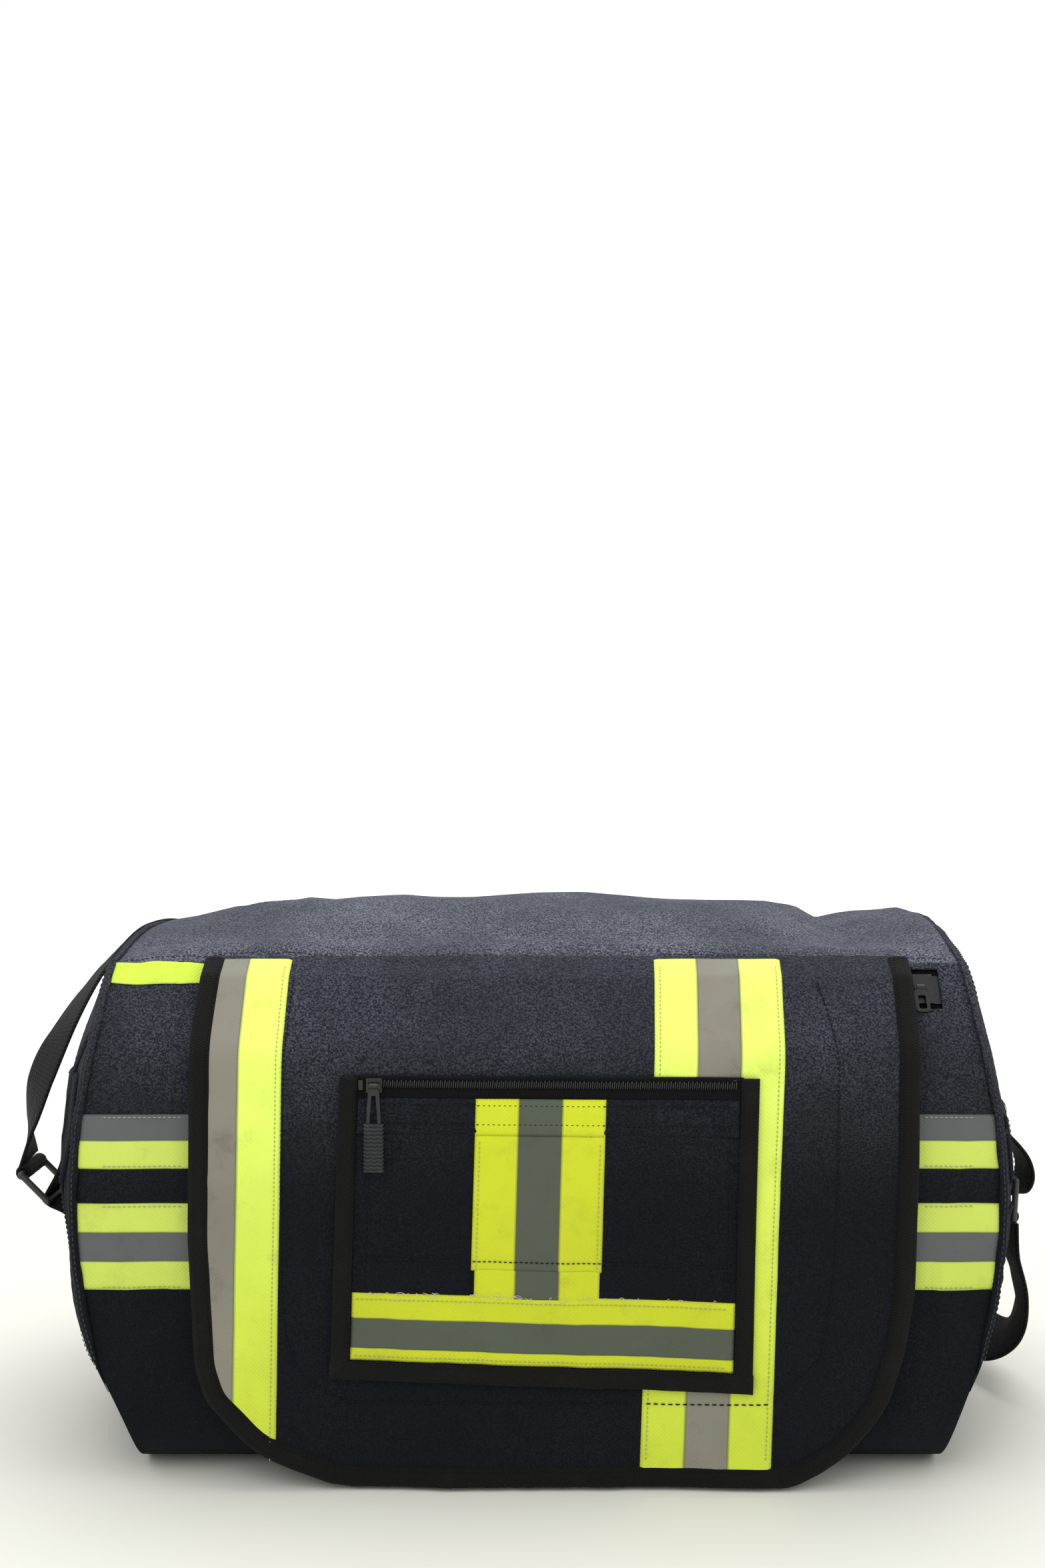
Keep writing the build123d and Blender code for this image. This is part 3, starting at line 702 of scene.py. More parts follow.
class Workbench:
    """Turns arrays of points into finished, riding pieces."""

    def __init__(self) -> None:
        """Open a wardrobe of finishes."""
        self.wardrobe = Wardrobe()

    def piece(self, name: str, points: Array, faces: Sequence[Sequence[int]], finish: str,
              slot: str, body: str, uv: Optional[Array] = None, band: Optional[Array] = None,
              away: Optional[Sequence[float]] = None, towards: bool = False,
              weld: bool = False, thick: float = 0.0) -> bpy.types.Object:
        """Make one mesh object.

        Args:
            name: the piece's name.
            points: vertices in millimetres.
            faces: vertex numbers of each face.
            finish: the finish's name.
            slot: the record's material slot; not used.
            body: the body that it rides on, empty where it crosses a joint.
            uv: cloth coordinates of each vertex, metres.
            band: share of the way across a trim, per vertex.
            away: faces point away from this place, millimetres.
            towards: turn the faces to point at the place instead.
            weld: merge doubled vertices, as at a pole.
            thick: cloth thickness added inwards, millimetres.

        Returns:
            The object.
        """
        mesh = bpy.data.meshes.new(name)
        mesh.from_pydata((points * MM).tolist(), [], [list(f) for f in faces])
        loops = np.empty(len(mesh.loops), np.int32)
        mesh.loops.foreach_get("vertex_index", loops)
        if uv is not None:
            layer = mesh.uv_layers.new(name="cloth")
            layer.data.foreach_set("uv", uv[loops].astype(np.float32).ravel())
        if band is not None:
            layer = mesh.attributes.new("band", "FLOAT", "POINT")
            layer.data.foreach_set("value", band.astype(np.float32).ravel())
        work = bmesh.new()
        work.from_mesh(mesh)
        if weld:
            bmesh.ops.remove_doubles(work, verts=work.verts, dist=2e-6)
        if away is None:
            bmesh.ops.recalc_face_normals(work, faces=work.faces)
        else:
            work.normal_update()
            place = Vector([a * MM for a in away])
            sense = sum((f.calc_center_median() - place).normalized().dot(f.normal)
                        for f in work.faces)
            if (sense < 0) != towards:
                bmesh.ops.reverse_faces(work, faces=work.faces)
        work.to_mesh(mesh)
        work.free()
        corners = np.empty(len(mesh.polygons), np.int32)
        mesh.polygons.foreach_get("loop_total", corners)
        mesh.polygons.foreach_set("use_smooth", corners <= 4)
        mesh.materials.append(self.wardrobe.get(finish))
        obj = bpy.data.objects.new(name, mesh)
        bpy.context.scene.collection.objects.link(obj)
        if thick:
            self.thicken(obj, thick)
        if body:
            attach(obj, body)
        LOG.info("%s: %d faces, %s", name, len(obj.data.polygons), body or "crosses a joint")
        return obj

    def thicken(self, obj: bpy.types.Object, thick: float) -> None:
        """Give an open sheet its wall with Solidify, inwards, and keep the result.

        Args:
            obj: the sheet.
            thick: wall in millimetres.
        """
        wall = obj.modifiers.new("wall", "SOLIDIFY")
        wall.thickness, wall.offset, wall.use_even_offset = thick * MM, -1.0, True
        seen = obj.evaluated_get(bpy.context.evaluated_depsgraph_get())
        mesh = bpy.data.meshes.new_from_object(seen)
        obj.modifiers.clear()
        obj.data = mesh

    def grid(self, name: str, points: Array, uv: Array, finish: str, slot: str, body: str,
             ring: bool = False, keep: Optional[Array] = None, band: Optional[Array] = None,
             **more: Any) -> bpy.types.Object:
        """Make a surface from a grid of points.

        Args:
            name: the piece's name.
            points: rows by columns by 3, millimetres.
            uv: rows by columns by 2, metres.
            finish: the finish's name.
            slot: the record's material slot.
            body: the body that it rides on.
            ring: join the last column to the first.
            keep: which cells are made.
            band: share across a trim, rows by columns.
            more: passed on to piece.

        Returns:
            The object.
        """
        cells = quads(*points.shape[:2], ring)
        cells = cells.reshape(-1, 4) if keep is None else cells[keep]
        flat_band = None if band is None else band.reshape(-1)
        return self.piece(name, points.reshape(-1, 3), cells.tolist(), finish, slot, body,
                          uv.reshape(-1, 2), flat_band, **more)

    def carry(self, name: str, path: Array, side: Array, up: Array, profile: Array,
              finish: str, slot: str, body: str, loop: bool = False,
              swell: Optional[Array] = None) -> bpy.types.Object:
        """Carry a closed profile along a path: p + side*a + up*b for each profile point.

        Args:
            name: the piece's name.
            path: points along the middle, millimetres.
            side: direction of the profile's first number at each point.
            up: direction of its second number.
            profile: the closed outline, columns a and b.
            finish: the finish's name.
            slot: the record's material slot.
            body: the body that it rides on.
            loop: join the path's end to its start.
            swell: scale of the profile at each point.

        Returns:
            The object, its ends closed.
        """
        scale = np.ones(len(path)) if swell is None else swell
        shape = profile[None] * scale[:, None, None]
        points = path[:, None] + side[:, None] * shape[..., :1] + up[:, None] * shape[..., 1:]
        rows, cols = points.shape[:2]
        faces = quads(rows, cols, True, loop).reshape(-1, 4).tolist()
        if not loop:
            faces += [list(range(cols)), list(range((rows - 1) * cols, rows * cols))[::-1]]
        return self.piece(name, points.reshape(-1, 3), faces, finish, slot, body,
                          wrap(path, profile).reshape(-1, 2))

    def beads(self, name: str, start: Array, end: Array, up: Array, wide: float, tall: float,
              finish: str, slot: str, body: str, arch: float = 0.0) -> bpy.types.Object:
        """Repeat a small tapered bead, as a stitch or a zip tooth, between pairs of points.

        Args:
            name: the piece's name.
            start: first end of each bead, millimetres.
            end: second end of each bead.
            up: outward direction at each bead.
            wide: half width.
            tall: half height.
            finish: the finish's name.
            slot: the record's material slot.
            body: the body that it rides on.
            arch: how far the middle stands above the ends.

        Returns:
            The object.
        """
        along = end - start
        side = unit(np.cross(along, up))
        turn = np.arange(BEAD_SIDES) * 2 * np.pi / BEAD_SIDES
        t = np.concatenate([[0.0], np.repeat(BEAD_T, BEAD_SIDES), [1.0]])
        a = np.concatenate([[0.0], (BEAD_R[:, None] * np.cos(turn)).ravel(), [0.0]]) * wide
        b = np.concatenate([[0.0], (BEAD_R[:, None] * np.sin(turn)).ravel(), [0.0]]) * tall
        b = b + arch * 4 * t * (1 - t)
        points = (start[:, None] + along[:, None] * t[None, :, None]
                  + side[:, None] * a[None, :, None] + up[:, None] * b[None, :, None])
        k = np.arange(BEAD_SIDES)
        n = (k + 1) % BEAD_SIDES
        last = 1 + len(BEAD_T) * BEAD_SIDES
        tips = [[0, 1 + i, 1 + j] for i, j in zip(k, n)]
        tips += [[last, last - BEAD_SIDES + j, last - BEAD_SIDES + i] for i, j in zip(k, n)]
        sides = [[r + i, r + BEAD_SIDES + i, r + BEAD_SIDES + j, r + j]
                 for r in (1, 1 + BEAD_SIDES) for i, j in zip(k, n)]
        shift = (np.arange(len(start)) * (last + 1))[:, None, None]
        faces = (np.array(tips)[None] + shift).reshape(-1, 3).tolist()
        faces += (np.array(sides)[None] + shift).reshape(-1, 4).tolist()
        return self.piece(name, points.reshape(-1, 3), faces, finish, slot, body)

    def stitches(self, name: str, lines: Sequence[tuple[Array, Array]], pitch: float,
                 finish: str, slot: str, body: str, fill: float = 0.7,
                 radius: float = 0.42) -> None:
        """Lay thread along lines, one bead per stitch.

        Args:
            name: the piece's name.
            lines: pairs of a line's points and its outward directions.
            pitch: stitch length, millimetres.
            finish: the thread's finish.
            slot: the record's material slot.
            body: the body that it rides on.
            fill: share of the pitch that shows.
            radius: half the thread's width.
        """
        starts, ends, ups = [], [], []
        for points, outward in lines:
            run = arc_length(points)
            at = np.arange(pitch * 0.5, run[-1] - pitch, pitch)
            take = lambda where, data: np.stack(
                [np.interp(where, run, data[:, i]) for i in range(3)], 1)
            starts.append(take(at, points))
            ends.append(take(at + pitch * fill, points))
            ups.append(unit(take(at + pitch * 0.35, outward)))
        self.beads(name, np.vstack(starts), np.vstack(ends), np.vstack(ups), radius,
                   radius * 0.8, finish, slot, body, arch=radius * 0.5)

    def dress(self, node: str, finish: str) -> None:
        """Give a CAD node a finish in place of its plain one.

        Args:
            node: the CAD node's name.
            finish: the finish's name.
        """
        material = self.wardrobe.get(finish)
        for place in bpy.data.objects[node].material_slots:
            place.material = material


RIDGE_X = np.array([-262, -254, -247, -229, -201, -173, -150, -134, -118, -66, 0, 49, 105,
                    154, 176, 191, 206, 218, 242, 255, 262.])
RIDGE_DROP = np.array([-29, -25, -22.5, -19.5, -12, -10, -6.5, -8.5, -7.5, -7, -4.6, -6, -6.5,
                       -11, -16, -23, -19, -16.5, -14, -17, -27.])


NARROW_ALL = 0.008
NARROW_LEFT, NARROW_RIGHT = 0.062, 0.034
NARROW_HEIGHTS = (5, 75)
NARROW_FROM = (225, 262)
SWELL = 0.10
SWELL_HEIGHTS = (0, 80)


def settle(points: Array) -> Array:
    """Let the soft bag settle: narrower along x and fuller along y near the floor.

    x shrinks by NARROW_ALL plus the left or right share, which fades out up the
    NARROW_HEIGHTS, and only past the NARROW_FROM distances from the middle. y grows
    by SWELL at the floor, fading out up the SWELL_HEIGHTS.

    Args:
        points: places on the bag, the last axis x, y, z.

    Returns:
        The moved places.
    """
    x, z = points[..., 0], points[..., 2]
    low = 1.0 - ease(z, *NARROW_HEIGHTS)
    narrow = NARROW_ALL + np.where(x < 0, NARROW_LEFT, NARROW_RIGHT) * low
    moved = points.copy()
    moved[..., 0] = x * (1.0 - narrow * ease(np.abs(x), *NARROW_FROM))
    moved[..., 1] = points[..., 1] * (1.0 + SWELL * (1.0 - ease(z, *SWELL_HEIGHTS)))
    return moved


@dataclass
class BagBody:
    """The barrel: ridge, front, back, base and the two domed ends.

    at(x, s) takes a place along the bag and an arc length from the crown, positive
    towards the front. The section is a crown arc, then straight runs joined by arcs.
    """

    bench: Workbench
    crown_centre: float = 158.8
    crown_radius: float = 178.2
    seam: Span = (110.0, 299.0)
    ball_radius: float = 360.0
    ball_shift: float = 59.0
    ball_height: float = 165.0
    column: float = 246.0
    corner_at: Span = (112.0, 14.0)
    puff: float = 3.3
    fold_reach: float = 158.0
    mouth: Span = ZIP_SPAN
    slot: Span = (4.0, 30.0)
    inside: tuple[float, float, float] = (0.0, 0.0, 160.0)
    half: Array = field(init=False)
    run: Array = field(init=False)
    seam_at: float = field(init=False)
    base_at: float = field(init=False)

    def __post_init__(self) -> None:
        """Work out the section's half outline and where its seams fall."""
        top = np.arcsin(self.seam[0] / self.crown_radius)
        angle = np.linspace(0, top, 80)
        arc = np.stack([np.sin(angle) * self.crown_radius,
                        np.cos(angle) * self.crown_radius + self.crown_centre], 1)
        lower = rounded_path([self.seam, (139, 252), (142, 95), (124, 0), (0, 0)],
                             [75, 400, 55], 1.0)
        self.half = np.vstack([arc[:-1], lower])
        self.run = arc_length(self.half)
        self.seam_at = float(self.crown_radius * top)
        far = np.hypot(*(self.half - self.corner_at).T)
        self.base_at = float(self.run[np.argmin(far)])

    def section(self, s: Array) -> tuple[Array, Array, Array, Array]:
        """Sample the section by arc length.

        Args:
            s: arc length from the crown, positive to the front.

        Returns:
            y, z and the outward direction's y and z.
        """
        a = np.abs(s)
        h, z = (np.interp(a, self.run, self.half[:, i]) for i in (0, 1))
        dh, dz = (np.interp(a + 1.5, self.run, self.half[:, i])
                  - np.interp(np.maximum(a - 1.5, 0), self.run, self.half[:, i])
                  for i in (0, 1))
        size = np.maximum(np.hypot(dh, dz), 1e-9)
        front = np.where(s >= 0, -1.0, 1.0)
        return front * h, z, front * (-dz / size), dh / size

    def edge(self, s: Array, side: int) -> Array:
        """Where a panel meets the domed end: the section cut by the ball.

        Args:
            s: arc length from the crown.
            side: -1 left, 1 right.

        Returns:
            The x of the seam.
        """
        y, z, _, _ = self.section(s)
        reach = np.sqrt(self.ball_radius ** 2 - y ** 2 - (z - self.ball_height) ** 2)
        return side * (reach - self.ball_shift)

    def relief(self, x: Array, s: Array) -> Array:
        """How far the cloth stands off the plain section.

        The ridge sags by a table over x, the top puffs out above the front seam,
        short puckers run into the seams and slow folds cross the panels.
        """
        a = np.abs(s)
        _, z, _, _ = self.section(s)
        top = np.clip(1 - (a / self.seam_at) ** 2, 0, 1)
        sag = np.interp(x, RIDGE_X, RIDGE_DROP) * top ** 0.8
        gap = np.abs(a - self.seam_at)
        puff = self.puff * np.exp(-((a - self.seam_at + 13) / 9) ** 2) * (a < self.seam_at)
        pucker = 1.1 * ripple(x, s, 26, 5, 6, 4.0) * np.exp(-gap / 16)
        folds = 1.3 * ripple(x, s, 85, 11) + 2.2 * (creases(x, s, 120, 23, 2.2) - 0.35)
        under = (s > self.seam_at) & (x > -215) & (x < 232)
        calm = np.where(under, 0.35, 1.0) * np.where(a < self.seam_at, 1.0, 0.9)
        ends = ease(np.minimum(x - self.edge(s, -1), self.edge(s, 1) - x), 0, 26)
        ground = ease(z, 10, 46)
        return sag + (puff + pucker + folds * calm) * ground * ends

    def at(self, x: Array, s: Array, out: Any = 0.0) -> Array:
        """Place on the body's surface.

        Args:
            x: along the bag.
            s: arc length from the crown.
            out: extra distance outwards.

        Returns:
            Points, the last axis x, y, z.
        """
        x, s = np.broadcast_arrays(np.asarray(x, float), np.asarray(s, float))
        y, z, ny, nz = self.section(s)
        push = self.relief(x, s) + out
        return settle(np.stack([x, y + ny * push, z + nz * push], -1))

    def outward(self, s: Array) -> Array:
        """Outward directions on the body at arc lengths s."""
        _, _, ny, nz = self.section(s)
        return np.stack([np.zeros_like(ny), ny, nz], -1)

    def row(self, x: Array, s: float, out: float) -> tuple[Array, Array]:
        """A row of thread along x: its points and outward directions."""
        return self.at(x, s, out), self.outward(np.full(len(x), s))

    def ball_out(self, points: Array, side: int) -> Array:
        """Directions away from the ball's centre at places on a domed end."""
        return unit(points - np.array([-side * self.ball_shift, 0, self.ball_height]))

    def s_of(self, z: float) -> float:
        """Arc length on the front where the section is at height z, below the seam."""
        low = self.run > self.seam_at
        return float(np.interp(-z, -self.half[low, 1], self.run[low]))

    def end_at(self, side: int, y: Array, z: Array, out: Any = 0.0) -> Array:
        """Place on a domed end: the ball pushed out by slow folds that fade at the seam.

        Args:
            side: -1 left, 1 right.
            y: across.
            z: up.
            out: extra distance outwards.

        Returns:
            Points, the last axis x, y, z.
        """
        up = z - self.ball_height
        inner = np.clip(1 - (np.hypot(y, up) / self.fold_reach) ** 4, 0, 1)
        folds = 2.0 * ripple(y, z, 80, 40 + side) + 3.6 * (creases(y, z, 105, 60 + side, 1.8)
                                                             - 0.3)
        radius = self.ball_radius + folds * inner + out
        reach = np.sqrt(self.ball_radius ** 2 - y ** 2 - up ** 2)
        grow = radius / self.ball_radius
        return settle(np.stack([side * (reach * grow - self.ball_shift), y * grow,
                                self.ball_height + up * grow], -1))

    def columns(self, s: Array, marks: Sequence[float] = (), count: int = 150) -> Array:
        """x of each grid point: even columns, then a few up to the curved seam at each end.

        Args:
            s: arc length of each row.
            marks: x values that get a column of their own.
            count: columns between the ends.

        Returns:
            Rows by columns of x.
        """
        middle = np.unique(np.concatenate([np.linspace(-self.column, self.column, count), marks]))
        share = np.linspace(0, 1, 6)[:-1]
        left, right = self.edge(s, -1)[:, None], self.edge(s, 1)[:, None]
        return np.hstack([left * (1 - share) - self.column * share,
                          np.ones((len(s), 1)) * middle,
                          (right * (1 - share) + self.column * share)[:, ::-1]])

    def panel(self, name: str, s: Array, finish: str, slot: str,
              opening: bool = False) -> None:
        """Make one panel between two arc lengths, with the zip's slot left open.

        Args:
            name: the panel's name, which is its CAD node's.
            s: arc length of each row.
            finish: the cloth's finish.
            slot: the record's material slot.
            opening: leave the slot for the zip.
        """
        slot_s = tuple(self.seam_at + v for v in self.slot)
        if opening:
            s = np.unique(np.concatenate([s, slot_s]))
        x = self.columns(s, self.mouth if opening else ())
        grid_s = spread(s, x)
        keep = outside(x, grid_s, self.mouth, slot_s) if opening else None
        obj = self.bench.grid(name + "_cloth", self.at(x, grid_s), metres(x, grid_s),
                              finish, slot, "bag", keep=keep, away=self.inside, thick=2.0)
        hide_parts(name)

    def end(self, name: str, side: int) -> None:
        """Make a domed end: rays from the middle to the seam, sagging with the ridge."""
        full = np.concatenate([np.linspace(0, self.run[-1], 150)[:-1],
                               -np.linspace(self.run[-1], 0, 150)[:-1]])
        y, z, ny, nz = self.section(full)
        share = np.linspace(0, 1, 70)[:, None]
        gy, gz = y * share, self.ball_height + (z - self.ball_height) * share
        top = np.clip(1 - (np.abs(full) / self.seam_at) ** 2, 0, 1) ** 0.8
        sag = np.interp(self.edge(full, side), RIDGE_X, RIDGE_DROP) * top * share ** 4
        points = self.end_at(side, gy, gz)
        points[..., 1] += ny * sag
        points[..., 2] += nz * sag
        obj = self.bench.grid(name + "_cloth", points, metres(gy, gz), "navy_twill",
                              "body_twill", "bag", ring=True, weld=True, away=self.inside,
                              thick=2.0)
        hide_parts(name)

    def welt(self, name: str, side: int) -> None:
        """Make a crumpled seam ridge round an end, with two rows of thread.

        The middle follows the panel's edge from knee height over the crown; the
        profile is an oval that leans half way between the panel and the end.
        """
        low = self.s_of(52)
        s = np.linspace(-low, low, 560)
        x = self.edge(s, side)
        path = self.at(x, s)
        lean = unit(self.outward(s) + np.array([side * 0.9, 0.0, 0.0]))
        tangent = unit(np.gradient(path, axis=0))
        cross = unit(np.cross(tangent, lean))
        lift = 0.3 + 0.3 * ripple(s, s * 0, 30, 71 + side)[:, None]
        path = path + lean * lift
        taper = ease(low - np.abs(s), -1, 45) * 0.9 + 0.1
        swell = taper * (1 + 0.09 * ripple(s, s * 0, 17, 83 + side))
        ridge = self.bench.carry(name + "_ridge", path, cross, lean, oval(3.4, 1.9, 16),
                                 "navy_twill", "body_twill", "bag", swell=swell)
        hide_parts(name)
        rows = [(path + cross * off + lean * 1.75 * swell[:, None], lean) for off in (-1.7, 1.7)]
        rows = [(p[12:-12], u[12:-12]) for p, u in rows]
        self.bench.stitches(name + "_thread", rows, 3.4, "grey_thread", "body_twill", "bag",
                            radius=0.4)

    def band(self, name: str, high: float, low: float, first: float) -> None:
        """Make a trim across the front between two heights.

        Args:
            name: the trim's CAD node.
            high: upper edge.
            low: lower edge.
            first: band share at the upper edge.
        """
        s = np.linspace(self.s_of(high), self.s_of(low), 26)
        x = self.columns(s)
        across, grid_s = spread(np.linspace(0, 1, len(s)), x), spread(s, x)
        edge = np.minimum(across, 1 - across)
        out = 0.25 + 0.75 * ease(edge, 0, 0.05) + 0.25 * ripple(x, grid_s, 40, 31)
        obj = self.bench.grid(name + "_tape", self.at(x, grid_s, out), metres(x, grid_s),
                              "front_trim", "reflective_trim", "bag",
                              band=first + (1 - first) * across, away=self.inside, thick=0.7)
        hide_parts(name)
        rows = []
        for z in (high - 1.6, low + 1.6):
            for ends in ((-256.0, -206.0), (223.0, 256.0)):
                rows.append(self.row(np.linspace(*ends, 60), self.s_of(z), 1.25))
        self.bench.stitches(name + "_thread", rows, 2.9, "pale_thread", "reflective_trim", "bag",
                            radius=0.32)

    def patch(self, name: str, side: int, span: Span, rise: Span, finish: str) -> None:
        """Lay a hemmed patch on a domed end.

        Args:
            name: the patch's CAD node.
            side: -1 left, 1 right.
            span: from and to across.
            rise: from and to in height.
            finish: the cloth's finish.
        """
        y, z = np.meshgrid(np.linspace(*span, 50), np.linspace(*rise, 90))
        out = 0.5 + 1.3 * ease(edge_gap(y, z, span, rise), 0, 2.2)
        obj = self.bench.grid(name + "_cloth", self.end_at(side, y, z, out), metres(y, z),
                              finish, "body_twill", "bag", away=self.inside, thick=1.0)
        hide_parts(name)
        inset = 3.5
        y0, y1, z0, z1 = span[0] + inset, span[1] - inset, rise[0] + inset, rise[1] - inset
        ring = resample(np.array([(y0, z0), (y1, z0), (y1, z1), (y0, z1), (y0, z0)], float), 1.0)
        line = self.end_at(side, ring[:, 0], ring[:, 1], 2.1)
        self.bench.stitches(name + "_thread", [(line, self.ball_out(line, side))], 3.1,
                            "grey_thread", "body_twill", "bag", radius=0.35)

    def ridge(self, name: str, side: int, places: Sequence[Span], wide: float,
              tall: float) -> None:
        """Run a narrow rolled seam and its thread over a domed end.

        Args:
            name: the seam's name.
            side: -1 left, 1 right.
            places: y and z that it passes through.
            wide: half its width.
            tall: half its height.
        """
        flat = smooth_curve(np.array(places, float), 150)
        path = self.end_at(side, flat[:, 0], flat[:, 1], tall * 0.4)
        up = self.ball_out(path, side)
        cross = unit(np.cross(unit(np.gradient(path, axis=0)), up))
        at = np.linspace(0, 1, 150)
        swell = ease(np.minimum(at, 1 - at), -0.005, 0.1) * (
            0.95 + 0.1 * ripple(at * 200, at * 0, 24, 91))
        self.bench.carry(name, path, cross, up, oval(wide, tall, 12), "navy_twill",
                         "body_twill", "bag", swell=swell)
        thread = path + cross * (wide + 1.6) - up * (tall * 0.4 - 0.3)
        self.bench.stitches(name + "_thread", [(thread[8:-8], up[8:-8])], 3.2, "grey_thread",
                            "body_twill", "bag", radius=0.34)

    def end_details(self) -> None:
        """Roll the pocket's curved lip on the left and the three seams on the right."""
        self.ridge("left_end_lip", -1, [(-122, 262), (-112, 250), (-98, 236), (-92, 214),
                                        (-95, 188), (-99, 150), (-97, 110)], 2.6, 1.9)
        for word, z in (("high", 199), ("middle", 154), ("low", 114)):
            self.ridge(f"right_end_seam_{word}", 1, [(-136, z - 2), (-96, z), (-46, z + 1),
                                                     (10, z)], 1.8, 1.1)
        spot = self.end_at(-1, np.array([-104.0, -103.0]), np.array([168.0, 171.0]), 0.6)
        out = self.ball_out(spot, -1)
        self.bench.beads("left_end_loose_thread", spot[:1], spot[1:], out[:1], 0.35, 0.35,
                         "red_thread", "body_twill", "bag", arch=1.0)

    def build(self) -> None:
        """Make every piece of the body."""
        top, base, foot = self.seam_at, self.base_at, float(self.run[-1])
        self.panel("top_panel", np.linspace(-top, top, 120), "ridge_twill", "top_twill")
        self.panel("front_panel", np.linspace(top, base, 110), "navy_twill", "body_twill", True)
        self.panel("back_panel", np.linspace(-base, -top, 110), "navy_twill", "body_twill")
        s = np.concatenate([np.linspace(base, foot, 50)[:-1], -np.linspace(foot, base, 50)])
        x = self.columns(s)
        girth = spread(arc_length(self.at(s * 0, s)), x)
        bottom = self.bench.grid("base_panel_cloth", self.at(x, spread(s, x)), metres(x, girth),
                                 "navy_twill", "body_twill", "bag", away=self.inside, thick=2.0)
        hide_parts("base_panel")
        for side, word in ((-1, "left"), (1, "right")):
            self.end(f"{word}_end_panel", side)
            self.welt(f"{word}_end_welt", side)
        self.patch("left_end_pocket", -1, (-112, -46), (40, 232), "pocket_twill")
        self.patch("right_end_trim", 1, (-112, -46), (167, 208), "navy_twill")
        self.band("front_trim_upper", 214, 182.5, 0.36)
        self.band("front_trim_lower", 162.5, 112.5, 0.0)
        self.corner()
        self.seams()
        self.end_details()
        self.bench.dress("base_board", "board")

    def corner(self) -> None:
        """Make the lime trim caught under the seam at the top left."""
        s = (self.seam_at + np.linspace(0.6, 1.0, 14))[:, None] + np.zeros((1, 44))
        share = np.linspace(0, 1, 44)[None]
        s = s + np.linspace(0, 1, 14)[:, None] * (12.5 + 1.5 * np.sin(np.pi * share))
        x = (self.edge(s, -1) + 2.0) * (1 - share) - 199 * share
        obj = self.bench.grid("top_corner_trim_tape", self.at(x, s, 1.1), metres(x, s),
                              "lime_trim", "reflective_trim", "bag", away=self.inside,
                              thick=0.7)
        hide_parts("top_corner_trim")

    def seams(self) -> None:
        """Sew the long seams: a row each side of the back seam, one above the front seam."""
        x = np.linspace(-252, 252, 700)
        rows = [self.row(x, s, 0.25) for s in (self.seam_at - 5.0, -self.seam_at + 4.0,
                                               -self.seam_at - 4.0)]
        self.bench.stitches("long_seam_thread", rows, 3.2, "grey_thread", "top_twill", "bag",
                            radius=0.36)


